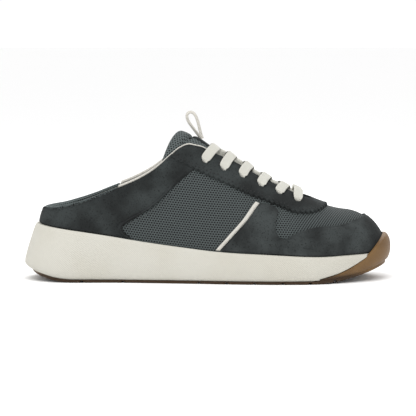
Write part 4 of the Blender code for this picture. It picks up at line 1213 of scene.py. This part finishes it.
# %% Pinked edges
PANEL_TOP = 0.0017
PANEL_EDGE = 0.0006
TOOTH_DEPTH = 0.0019
TOOTH_STEPS = 8
TOOTH_START = 0.86
EYESTAY_END = 0.0030


def teeth(count, along):
    """Depth of the teeth at shares along an edge, from 0 at a tip to 1 in a notch."""
    phase = np.mod(along * count, 1.0)
    return 1 - np.abs(2 * phase - 1)


def per_metre(ring, angle):
    """The angle that moves a place up the wall by a metre."""
    step = 0.004
    climb = np.linalg.norm(on_last(ring, angle) - on_last(ring, angle - step), axis=-1)
    return step / np.maximum(climb, 1e-6)


def other_side(ring):
    return np.mod(2 - ring, 2)


def mirrored(ring, u):
    return np.where(u <= 0.5, ring, other_side(ring))


def toothed(count, u, v):
    """The teeth of a panel's upper edge: how deep the cut is at each place of its grid."""
    return TOOTH_DEPTH * teeth(count, u) * ease((v - TOOTH_START) / (1 - TOOTH_START))


def eyestay_low(ring):
    return np.minimum(EYESTAY_OVER(ring), rim_margin(ring, EYESTAY_END))


print("teeth are %.1f mm deep" % (TOOTH_DEPTH / MM))

# %% [markdown]
# Suede round the heel
# One panel wraps the heel and both rear quarters. Its grid runs round the shoe from one front edge
# to the other, so its front edge is a row, and its top edge a column, pinked along the collar.
# Beside the front edge the suede is folded, and a row of stitches holds it.

# %% Suede round the heel
HEEL_TEETH = 74
SEAM_ANGLE = -0.045
SEAM_FADE = 0.03
ROLL_END_SHARE = 0.225
HEEL_FOLDS = [(0.0021, -0.0005), (0.0036, 0.0004), (0.0053, 0.0003)]
COLLAR_END = ring_at_rim(ROLL_END_SHARE)


def heel_top(ring):
    ahead = ease((ring - EYESTAY_SPOTS[0][0]) / SEAM_FADE + 1)
    return mix(rim_margin(ring, PANEL_EDGE), eyestay_low(ring) - SEAM_ANGLE, ahead)


line_v = np.linspace(0, 1, 240)
front_rings, front_angles = QUARTER_FRONT(line_v)
front_low, front_high = foot_angle(front_rings), heel_top(front_rings)
FRONT_SHARES = np.clip((front_angles - front_low) / (front_high - front_low), 0.0, 1.0)
top_rings = np.linspace(0, front_rings.max() + 0.01, 400)
HEEL_TOPS = heel_top(top_rings)


def heel_place(u, v):
    reach = np.abs(2 * u - 1)
    ring = reach * QUARTER_FRONT(v)[0]
    top = np.interp(ring, top_rings, HEEL_TOPS)
    collar = 1 - ease((ring - COLLAR_END + 0.01) / 0.01)
    top = top - toothed(HEEL_TEETH, u, v) * collar * per_metre(ring, top)
    angle = mix(foot_angle(ring), top, mix(v, np.interp(v, line_v, FRONT_SHARES), reach**2))
    return mirrored(ring, u), angle


stand_for(panel("suede_heel", heel_place, HEEL_TEETH * TOOTH_STEPS, 26, SUEDE_DARK, PANEL_TOP,
                seams=["high"], folds=HEEL_FOLDS), "suede", "heel_quarter")

# %% [markdown]
# The eyestay
# The eyestay is a U round the throat. Its grid runs from one collar end round the toe end to the
# other, and its columns from the throat's edge down to the pinked edge. It lies over the other
# suede, so it stands out a little more.

# %% The eyestay
EYESTAY_TEETH = 74
EYESTAY_LAP = 0.0008
EYESTAY_TOP = PANEL_TOP + EYESTAY_LAP


def eyestay_place(u, v):
    reach = 1 - np.abs(2 * u - 1)
    ring = mix(EYESTAY_SIDE(0.0)[0], THROAT_FRONT, reach)
    top = np.where(reach >= 1, QUARTER_TURN, rim_margin(ring, PANEL_EDGE))
    low_ring, low_angle = EYESTAY_SIDE(reach)
    low_angle = np.where(reach < 0.5, np.minimum(low_angle, eyestay_low(low_ring)), low_angle)
    tooth = toothed(EYESTAY_TEETH, u, v) * ease((0.97 - reach) / 0.03)
    low_angle = low_angle + tooth * per_metre(low_ring, low_angle)
    return mirrored(mix(ring, low_ring, v), u), mix(top, low_angle, v)


eyestay = stand_for(
    panel("suede_eyestay", eyestay_place, EYESTAY_TEETH * TOOTH_STEPS, 20, SUEDE_DARK, EYESTAY_TOP,
          seams=["low", "high"]), "suede", "eyestay")

# %% [markdown]
# Toe guard
# The toe guard wraps the toe, and an arm of it climbs to the eyestay behind the piece of open mesh.
# A pale piping will lie along the arm's rear edge, so the guard's grid bends into the piping's line
# at its ends.

# %% Toe guard
PIPING_WIDTH = 0.0034


def ring_offset(ring, angle, distance):
    step = 0.002
    run = np.linalg.norm(on_last(ring + step, angle) - on_last(ring - step, angle), axis=-1)
    return distance * 2 * step / np.maximum(run, 1e-6)


def piping_place(side):
    def place(u, v):
        ring, angle = PIPING_SIDE(u)
        angle = np.maximum(angle, foot_angle(ring))
        ring = ring + (v - 0.5) * ring_offset(ring, angle, PIPING_WIDTH)
        return (ring if side < 0 else other_side(ring)), angle
    return place


def guard_place(u, v):
    reach = 1 - np.abs(2 * u - 1)
    high_ring, high_angle = GUARD_SIDE(reach)
    low_ring = mix(PIPING_SIDE(0.0)[0], 1.0, reach**0.85)
    low_angle = foot_angle(low_ring)
    close = (1 - reach) ** 10
    piping_ring, piping_angle = PIPING_SIDE(v * 0.97)
    ring = mix(mix(low_ring, high_ring, v), piping_ring, close)
    angle = mix(mix(low_angle, high_angle, v), np.maximum(piping_angle, low_angle), close)
    clear = PIPING_WIDTH / 2 + 4 * GAP
    return mirrored(ring + ring_offset(ring, angle, clear) * close, u), angle


stand_for(panel("suede_toe", guard_place, 420, 26, SUEDE_TOE, PANEL_TOP, seams=["high"]),
          "suede", "toe_guard")

# %% [markdown]
# Pinholes, stitches and piping
# Each side then gets its small trim. Along the eyestay's pinked edge runs a row of pinholes, which
# are not cut but are near-black spots of painted shade, and beside the heel panel's front edge a row
# of stitches: tiny eight-sided spots at an even pitch.
# The piping is a narrow panel, rounded over its whole width.

# %% Pinholes, stitches and piping
PIPING_THICK = 0.0010
PINHOLE = 0.0011
PINHOLE_IN = 0.0042
PINHOLE_PITCH = 0.0040
STITCH = (0.0021, 0.0007)
STITCH_IN = 0.0053
THREAD_SUNK = 0.0001
STITCH_PITCH = 0.0042


def dots(name, line, grow, long, wide, finish):
    """Small spots along a line of (rings, angles): eight rim points and two tips each."""
    here, facing = on_last(*line, grow), surface_normal(*line)
    ahead = unit(np.gradient(here, axis=0))
    across = np.cross(facing, ahead)
    turn = np.linspace(0, 2 * np.pi, 8, endpoint=False)[None, :, None]
    spread = ahead[:, None] * np.cos(turn) * long / 2 + across[:, None] * np.sin(turn) * wide / 2
    tips = facing[:, None] * np.array([1.0, -1.0])[None, :, None] * wide / 4
    points = here[:, None] + np.concatenate([spread, tips], axis=1)
    faces = []
    for k in range(0, 10 * len(here), 10):
        for j in range(8):
            a, b = k + j, k + (j + 1) % 8
            faces += [(a, b, k + 8), (b, a, k + 9)]
    mesh = bpy.data.meshes.new(name)
    mesh.from_pydata(points.reshape(-1, 3).tolist(), [], faces)
    mesh.uv_layers.new(name="mm")
    return settle(name, mesh, finish, 60)


def evenly(rings, angles, pitch):
    """Places at an even pitch along a line on the shoe."""
    run = length_along(on_last(rings, angles), 0)
    marks = np.arange(pitch / 2, run[-1], pitch)
    return np.interp(marks, run, rings), np.interp(marks, run, angles)


for name, side in (("lateral", -1), ("medial", 1)):
    u = np.linspace(0.03, 0.92, 240)
    ring, angle = eyestay_place((u if side < 0 else 2 - u) / 2, 1.0 + 0 * u)
    angle = angle + (PINHOLE_IN - TOOTH_DEPTH / 2) * per_metre(ring, angle)
    line = evenly(ring, angle, PINHOLE_PITCH)
    stand_for(dots("pinholes_" + name, line, EYESTAY_TOP, PINHOLE, PINHOLE, PINHOLE_SHADE), "suede")
    v = np.linspace(0.12, 0.93, 200)
    ring, angle = heel_place(0.5 - side * 0.5 + 0 * v, v)
    line = evenly(ring + side * ring_offset(ring, angle, STITCH_IN), angle, STITCH_PITCH)
    stand_for(dots("stitches_" + name, line, PANEL_TOP - THREAD_SUNK, *STITCH, THREAD), "suede")
    stripe = panel("piping_stripe_" + name, piping_place(side), 90, 8, PIPING, SEAT + PIPING_THICK,
                   round_off=PIPING_WIDTH / 2)
    stand_for(stripe, "cord", "piping_" + name)

# %% [markdown]
# Rim: roll and binding
# Behind the heel the rim is a padded roll of mesh. It tapers into a thin corded binding that runs
# up each side of the collar and under the laces. Both are rounded sections swept along the rim.

# %% Rim: roll and binding
ROLL_HEIGHT = 0.0026
BINDING_HEIGHT = 0.0013
CORD_WIDTH = 0.0034
CORD_HEIGHT = 0.0022
CORD_OUT = 0.0009
BINDING_END_SHARE = 0.486
ROLL_IN = 0.0030


def rim_tube(rings, width, height, inset, points):
    """Rounded sections on the rim, with the width to its inside and out."""
    rings = rings[:, None]
    angle = rim(rings)
    outer, inner = on_last(rings, angle), on_last(rings, angle, -WALL)
    up, across = unit(outer - on_last(rings, angle - 0.03)), unit(outer - inner)
    up = unit(up - across * (up * across).sum(-1, keepdims=True))
    middle = (outer + inner) / 2 + up * (height[:, None, None] / 2) - across * inset[:, None, None]
    turn = (np.arange(points) + 0.5)[None, :, None] * 2 * np.pi / points
    wide = across * np.cos(turn) * width[:, None, None] / 2
    return middle + wide + up * np.sin(turn) * (height[:, None, None] / 2 + GAP)


def tube_place(grid):
    """Fabric coordinates of a tube: along it, and round it."""
    along = length_along(grid, 0).mean(axis=1, keepdims=True)
    return np.stack([np.broadcast_to(along, grid.shape[:2]), length_along(grid, 1)], axis=-1) / MM


roll_rings = np.linspace(-COLLAR_END, COLLAR_END, 161)
fade = ease(np.abs(roll_rings) / COLLAR_END)
swell = ROLL_HEIGHT * mix(0.1, 1.0, ease(np.abs(roll_rings) / COLLAR_END * 1.6))
roll_tube = rim_tube(roll_rings, mix(WALL + 2 * PANEL_EDGE + ROLL_IN, WALL + PANEL_EDGE, fade),
                     mix(swell, BINDING_HEIGHT, fade), mix(ROLL_IN / 2, 0.0, fade), 20)
roll = stand_for(skin("collar_padding", roll_tube, MESH_COLLAR, tube_place(roll_tube), caps=True),
                 "mesh", "collar_roll")
binding_end = ring_at_rim(BINDING_END_SHARE)
for name, side in (("lateral", 1), ("medial", -1)):
    rings = side * np.linspace(COLLAR_END + 0.004, binding_end, 221)
    even = np.ones(len(rings))
    tube = rim_tube(rings, CORD_WIDTH * even, CORD_HEIGHT * even, -CORD_OUT * even, 14)
    cord = skin("binding_cord_" + name, tube, BINDING, tube_place(tube), caps=True)
    stand_for(cord, "cord", "binding_" + name)
print("roll ends at ring %.3f, binding at %.3f" % (COLLAR_END, binding_end))

# %% [markdown]
# Tongue
# The tongue is a pad of mesh that lies under the throat. Its top end is rolled, with a valley
# below the roll where the maker sews through the padding. Its edges are rounded by half its own
# thickness, so it reads as stuffed and not as a board.

# %% Tongue
TONGUE_TOP = 0.0065
TONGUE_FOOT = 0.0030
TONGUE_GAP = 0.0011
TONGUE_EASE = 0.0016
UNDER_THROAT = -WALL - TONGUE_GAP
VALLEY = 0.085
VALLEY_DEPTH = 0.0028
TONGUE_TOP_RING = ring_at_spine(TONGUE_TOP_SHARE)
TONGUE_FOOT_RING = ring_at_spine(TONGUE_FOOT_SHARE)


def tongue_place(u, v):
    side = 2 * v - 1
    ring, angle = TONGUE_SIDE(u)
    a = mix(mix(TONGUE_TOP_RING, TONGUE_FOOT_RING, u), ring, np.abs(side))
    return np.where(side <= 0, a, other_side(a)), QUARTER_TURN - np.abs(side) * (QUARTER_TURN - angle)


def tongue_outer(u, v):
    """How far the tongue's outer face lies off the last, without its padding's play."""
    return UNDER_THROAT - TONGUE_EASE * (1 - ease(u / 0.3)) * (2 * v - 1) ** 2


def tongue_puff(u, v):
    """The padding's play: a dip behind the rolled end, and a low swell beyond it."""
    middle = 1 - np.abs(2 * v - 1) ** 4
    return middle * (-0.0018 * dip(u - 0.22, 0.09) - VALLEY_DEPTH * dip(u - VALLEY, 0.013))


def build_tongue():
    u = np.unique(np.concatenate([np.linspace(0, 0.12, 40), np.linspace(0.12, 1, 90)]))[:, None]
    t = np.linspace(0, 1, 57)[None, :]
    v = mix(t, (1 - np.cos(np.pi * t)) / 2, 0.7)
    ring, angle = np.broadcast_arrays(*tongue_place(u, v))
    thick = mix(TONGUE_TOP, TONGUE_FOOT, ease(u / 0.5)) * (1 - 0.55 * np.abs(2 * v - 1) ** 3)
    base = on_last(ring, angle)
    run, width = length_along(base, 0), length_along(base, 1)
    edge = np.minimum(np.minimum(run, run[-1:] - run), np.minimum(width, width[:, -1:] - width))
    near = np.clip(1 - edge / (thick / 2), 0, 1)
    shrink = thick / 2 * (1 - np.sqrt(np.maximum(1 - near**2, 0.0)))
    outer = tongue_outer(u, v)
    above_it = on_last(ring, angle, outer - shrink + tongue_puff(u, v))
    below_it = on_last(ring, angle, outer - thick + shrink)
    grid = np.concatenate([above_it, below_it[:, ::-1]], axis=1)
    place = np.stack([run, width], axis=-1) / MM
    place = np.concatenate([place, place[:, ::-1]], axis=1)
    return skin("tongue_pad", grid, MESH_TONGUE, place, caps=True)


tongue = stand_for(build_tongue(), "tongue_mesh", "tongue")

# %% [markdown]
# Tab
# A strip of suede with pinked sides runs down the middle of the tongue's top. It follows the
# tongue's own padding, valley and all, so it is drawn in the tongue's coordinates.

# %% Tab
TAB_START = 0.080
TAB_END = 0.200
TAB_SPREAD = 0.20
TAB_TEETH = 5
TAB_THICK = 0.0009


def tab_place(u, v):
    across = (v - 0.5) * TAB_SPREAD
    tooth = 0.24 * teeth(TAB_TEETH, u) * ease((np.abs(2 * v - 1) - 0.7) / 0.3)
    return tongue_place(mix(TAB_START, TAB_END, u), 0.5 + across * (1 - tooth))


u = np.linspace(0, 1, TAB_TEETH * TOOTH_STEPS + 1)[:, None]
v = np.linspace(0, 1, 13)[None, :]
ring, angle = np.broadcast_arrays(*tab_place(u, v))
lie = UNDER_THROAT + tongue_puff(mix(TAB_START, TAB_END, u), 0.5 + 0 * v) + 0 * v
edge = np.minimum(np.minimum(u, 1 - u) * 12, np.minimum(v, 1 - v) * 8)
top = on_last(ring, angle, lie + TAB_THICK * (1 - 0.4 * np.maximum(1 - edge, 0) ** 2))
grid = np.concatenate([top, on_last(ring, angle, lie - SEAT)[:, ::-1]], axis=1)
stand_for(skin("suede_tab", grid, SUEDE_DARK, caps=True), "suede", "tongue_tab")

# %% [markdown]
# Pull loop
# A narrow ribbon, laid double, stands on the tongue and leans to the heel. Its path is a drop
# shape, and its flat side is turned part of the way to the camera, as ribbon twists in wear.

# %% Pull loop
LOOP_WIDTH = 0.0028
LOOP_THICK = 0.0011
LOOP_HEIGHT = 0.0240
LOOP_SPREAD = 0.0070
LOOP_TURN = math.radians(48)
LOOP_SHARE = 0.469
LOOP_LEAN = 0.48
LOOP_FOOT = 0.0006


def squared_off(wave, power):
    """A wave with its rounds filled out, for the section of a flat tape."""
    return np.sign(wave) * np.abs(wave) ** power


turn = np.linspace(0, np.pi, 61)
lean = unit(np.array([-LOOP_LEAN, 0.0, 1.0]))
spread = np.cos(turn) * mix(LOOP_THICK * 0.55, LOOP_SPREAD, np.sin(turn))
foot_z = ridge_z(LOOP_SHARE) + UNDER_THROAT + LOOP_FOOT
foot = np.array([place_of(LOOP_SHARE), centre_y(LOOP_SHARE), foot_z])
path = foot + lean * (LOOP_HEIGHT * np.sin(turn) ** 0.7)[:, None]
path = path + np.array([lean[2], 0.0, -lean[0]]) * spread[:, None]
ahead = unit(np.gradient(path, axis=0))
flat = np.stack([ahead[:, 2], 0 * turn, -ahead[:, 0]], axis=-1)
sideways = np.array([0.0, 1.0, 0.0])
thick = flat * math.cos(LOOP_TURN) - sideways * math.sin(LOOP_TURN)
broad = flat * math.sin(LOOP_TURN) + sideways * math.cos(LOOP_TURN)
section = np.linspace(0, 2 * np.pi, 16, endpoint=False)
wide = (squared_off(np.cos(section), 0.35) * LOOP_WIDTH / 2)[None, :, None]
deep = (squared_off(np.sin(section), 0.6) * LOOP_THICK / 2)[None, :, None]
grid = path[:, None] + thick[:, None] * deep + broad[:, None] * wide
stand_for(skin("pull_ribbon", grid, BINDING, tube_place(grid), caps=True), "cord", "pull_loop")

# %% [markdown]
# Eyelets
# Six eyelets a side are punched through the suede and the mesh behind it. They stand at one
# distance below the throat's edge, measured over the surface. Round pins, square to the surface,
# cut them out of both pieces, and leave suede in the holes' walls.

# %% Eyelets
EYELETS = 6
EYELET_SHARES = (0.475, 0.742)
EYELET_INSET = 0.0124
EYELET_RADIUS = 0.0022
EYELET_UP = 0.82
PIN_DEPTH = 0.012


def eyelet(row, side):
    share = mix(*EYELET_SHARES, row / (EYELETS - 1))
    a, _ = spot(Mark(share, EYELET_UP))
    ring = a if side < 0 else 2 - a
    top = float(rim(ring))
    edge = on_last(ring, top)

    def far(angle):
        return np.linalg.norm(on_last(ring, angle) - edge, axis=-1) > EYELET_INSET

    return ring, float(bisect(far, 0.0, top))


EYELET_SPOTS = {(row, side): eyelet(row, side) for row in range(EYELETS) for side in (-1, 1)}


def eyelet_pins():
    work = bmesh.new()
    for ring, angle in EYELET_SPOTS.values():
        here, facing = on_last(ring, angle), surface_normal(ring, angle)
        turn_to = Vector(facing).to_track_quat("Z", "Y").to_matrix().to_4x4()
        bmesh.ops.create_cone(
            work, cap_ends=True, segments=20, radius1=EYELET_RADIUS, radius2=EYELET_RADIUS,
            depth=PIN_DEPTH, matrix=Matrix.Translation(here) @ turn_to)
    return pins_from("eyelet_pins", work)


for piece in (upper, eyestay):
    pins = eyelet_pins()
    pins.data.materials.append(SUEDE_DARK)
    cut_away(piece, pins)

# %% [markdown]
# A lace's way over the shoe
# A strand is planned from above, as a line between two places, and then laid on the last: over
# the suede it keeps one height, and between the throat's edges it comes down to the tongue.

# %% A lace's way over the shoe
LACE_WIDTH = 0.0080
LACE_THICK = 0.0011
LACE_OVER = PANEL_TOP + 0.0010
LACE_DIVE = 0.0034
LACE_REST = 0.0030
LACE_LOW = UNDER_THROAT + 0.0002
LACE_BENDS = (1.25, 0.75, 0.45, 0.36, 0.36)
LACE_SINKS = (0.0016, 0.0008, 0.0, 0.0, 0.0)
LACE_TIP = 0.0056
LACE_STEPS = 72


def over_shoe(x, y):
    """(ring, angle) of places over the shoe, given in plan."""
    middle = centre_y(share_of(x))
    side = np.where(y < middle, -1.0, 1.0)
    far = np.abs(y - middle)

    def ring_for(lean):
        a = bisect(lambda k: on_last(np.where(side < 0, k, 2 - k), QUARTER_TURN - lean)[..., 0] < x,
                   np.zeros(x.shape), 1.0, 26)
        return np.where(side < 0, a, 2 - a)

    def short(lean):
        point = on_last(ring_for(lean), QUARTER_TURN - lean)
        return np.abs(point[..., 1] - middle) < far

    lean = bisect(short, np.zeros(x.shape), 1.2, 26)
    return ring_for(lean), QUARTER_TURN - lean


def in_plan(place):
    return on_last(*place)[..., :2]


def throat_point(row, side):
    x = float(in_plan(EYELET_SPOTS[row, side])[0])
    share = share_of(x)
    return np.array([x, centre_y(share) + side * (throat_half(share) - LACE_DIVE)])


def sag(x, y):
    """How far a lace comes down to the tongue here, between the throat's edges."""
    share = share_of(x)
    reach = np.abs(y - centre_y(share)) / (throat_half(share) - LACE_REST)
    return (LACE_OVER - LACE_LOW) * np.maximum(1 - reach**2, 0.0) ** 2


def soften(points, times):
    for _ in range(times):
        inner = (points[:-2] + 2 * points[1:-1] + points[2:]) / 4
        points = np.concatenate([points[:1], inner, points[-1:]])
    return points


print("lace %.1f by %.1f mm" % (LACE_WIDTH / MM, LACE_THICK / MM))

# %% [markdown]
# One strand
# The lace is a flat woven tape: a thin section swept along its way. At an eyelet it turns down into
# the hole, so a few steps are added there that run against the surface's normal.

# %% One strand
DIVE_STEPS = 9
DIVE_DEPTH = 0.006
DIVE_AHEAD = 0.0004


def dive(centre, facing, t):
    """Adds the steps that come up out of the eyelet at the strand's first end."""
    down = np.linspace(1, 0, DIVE_STEPS + 1)[:-1, None]
    ahead = unit(centre[1] - centre[0])
    steps = centre[0] - facing[0] * down * DIVE_DEPTH - ahead * down * DIVE_AHEAD
    return (np.concatenate([steps, centre]),
            np.concatenate([np.repeat(facing[:1], DIVE_STEPS, axis=0), facing]),
            np.concatenate([np.full(DIVE_STEPS, t[0]), t]))


def swept_lace(start, end, over, width, both_dive=False, bend=0.5, sink=0.0):
    """A flat strand between two places in plan, over a middle that may lie nearer the toe. over
    gives its height off the last along it, before it comes down to the tongue, and sink how
    far it presses in there."""
    t = np.linspace(0, 1, LACE_STEPS)
    turn = np.array([mix(start[0], end[0], bend), mix(start[1], end[1], 0.5)])
    k = t[:, None]
    line = start * (1 - k) ** 2 + turn * 2 * k * (1 - k) + end * k**2
    ring, angle = over_shoe(line[:, 0], line[:, 1])
    facing = surface_normal(ring, angle)
    sagged = over(t) - sag(line[:, 0], line[:, 1]) * (1 + sink / LACE_OVER)
    height = np.maximum(sagged, np.minimum(over(t), LACE_LOW - sink))
    centre = on_last(ring, angle) + facing * (height + LACE_THICK / 2)[:, None]
    centre, facing, t = dive(centre, facing, t)
    if both_dive:
        back = dive(centre[::-1], facing[::-1], t[::-1])
        centre, facing, t = [part[::-1] for part in back]
    centre = soften(centre, 3)
    ahead = unit(np.gradient(centre, axis=0))
    plan = unit(end - start)
    wide = np.cross(np.repeat([[plan[0], plan[1], 0.0]], len(t), axis=0), facing)
    wide = unit(wide - ahead * (wide * ahead).sum(-1, keepdims=True))
    normal = np.cross(wide, ahead)
    s = np.linspace(0, 2 * np.pi, 22, endpoint=False)
    across = squared_off(np.cos(s), 0.6)
    out = across[None, :, None] * width(t)[:, None, None] / 2
    deep = (squared_off(np.sin(s), 0.6) * LACE_THICK / 2)[None, :, None]
    grid = centre[:, None] + wide[:, None] * out + normal[:, None] * deep
    along = length_along(centre, 0)[:, None]
    place = np.stack(np.broadcast_arrays(along, across[None, :] * LACE_WIDTH / 2), axis=-1) / MM
    return grid, place


print("a strand dives %.0f mm into its eyelet" % (DIVE_DEPTH / MM))

# %% [markdown]
# Lacing
# At each of the upper five rows two strands leave the eyelets from above, cross over the tongue,
# and go down under the eyestay's far edge one row nearer the toe. At the toe end one strand lies
# straight across, into both eyelets.

# %% Lacing
def strand(row, side):
    """One crossing strand. The lateral one lies on top where they cross."""
    start = in_plan(EYELET_SPOTS[row, side])
    end = throat_point(row + 1, -side)
    end[0] -= LACE_WIDTH * 0.15

    def over(t):
        lift = (LACE_THICK + GAP) * dip(t - 0.52, 0.20) if side < 0 else 0.0
        return mix(LACE_OVER + lift, UNDER_THROAT + LACE_THICK * 0.3, ease((t - 0.90) / 0.10))

    def width(t):
        return mix(LACE_TIP, LACE_WIDTH, np.sqrt(np.clip(t / 0.05, 0, 1)))

    return swept_lace(start, end, over, width, bend=LACE_BENDS[row], sink=LACE_SINKS[row])


def bar():
    start, end = [in_plan(EYELET_SPOTS[EYELETS - 1, side]) for side in (-1, 1)]

    def over(t):
        return LACE_OVER + (2 * LACE_THICK + GAP) * np.sin(np.pi * t) ** 0.5

    def width(t):
        return mix(LACE_TIP, LACE_WIDTH, np.sqrt(np.clip(np.minimum(t, 1 - t) / 0.07, 0, 1)))

    return swept_lace(start, end, over, width, both_dive=True)


def join(first, second):
    """Puts the second object's mesh into the first one."""
    both = [first, second]
    with bpy.context.temp_override(active_object=first, object=first, selected_editable_objects=both):
        bpy.ops.object.join()
    return first


def tape(name, swept):
    grid, place = swept
    return skin(name, grid, LACE, place, caps=True, sharp=60)


for row in range(EYELETS - 1):
    pair = [tape("lace_strands_%d" % (row + 1), strand(row, side)) for side in (-1, 1)]
    stand_for(join(*pair), "lace", "lace_cross_%d" % (row + 1))
stand_for(tape("lace_strand_6", bar()), "lace", "lace_bar")

# %% [markdown]
# Insole
# The footbed lies inside, cupped a little towards its edge. Little of it is seen from the
# camera, but it shows from above.

# %% Insole
INSOLE = 0.0055
INSOLE_CUP = 0.0016
INSOLE_ROUND = 0.0008
UNDER_UPPER = -WALL - GAP


def build_insole():
    rings = SOLE_RINGS[::2]

    def bed(x):
        return seat_z(share_of(x))

    rows = [floor_row(rings, UNDER_UPPER, k, bed) for k in (0.0, 0.5, 1.0)]
    for k in (1.0, 0.985, 0.95, 0.9, 0.8, 0.65, 0.5, 0.3, 0.15, 0.0):
        row_here = floor_row(rings, UNDER_UPPER, k, bed)
        row_here[:, 2] += INSOLE - INSOLE_CUP * (1 - k**2) - INSOLE_ROUND * max(k - 0.95, 0) / 0.05
        rows.append(row_here)
    return lofted("footbed", rows, FOOTBED)


stand_for(build_insole(), "footbed", "insole")

# %% [markdown]
# Floor and surround
# The photo has a white ground with one soft shadow under the shoe. The floor is a large plane of
# plain white, and a white surround lights the shoe evenly from all sides.

# %% Floor and surround
bpy.ops.mesh.primitive_plane_add(size=40.0, location=(0, 0, -0.0002))
floor = bpy.context.object
floor.name = "floor"
ground = bpy.data.materials.new("floor_white")
ground.use_nodes = True
paint = ground.node_tree.nodes["Principled BSDF"].inputs
paint["Base Color"].default_value = (0.95, 0.95, 0.95, 1)
paint["Roughness"].default_value = 1.0
floor.data.materials.append(ground)

world = bpy.data.worlds.new("studio")
world.use_nodes = True
glow = world.node_tree.nodes["Background"].inputs
glow["Color"].default_value = (1, 1, 1, 1)
glow["Strength"].default_value = 1.03
bpy.context.scene.world = world
print("surround at %.2f" % glow["Strength"].default_value)

# %% [markdown]
# Lights
# A large soft light hangs above and before the shoe, and a weaker one behind it lifts the far
# rim. Their size is what keeps the shadows soft.

# %% Lights
SHOE_MIDDLE = Vector((0, 0, 0.05))


def softbox(name, place, size, power):
    lamp = bpy.data.lights.new(name, "AREA")
    lamp.shape, lamp.size, lamp.energy = "SQUARE", size, power
    made = bpy.data.objects.new(name, lamp)
    made.location = place
    made.rotation_euler = (SHOE_MIDDLE - Vector(place)).to_track_quat("-Z", "Y").to_euler()
    bpy.context.scene.collection.objects.link(made)


softbox("key", (-0.2, -0.7, 1.3), 1.2, 12.0)
softbox("back", (0.3, 0.9, 1.0), 1.0, 6.0)
print("lights:", len(bpy.data.lights))
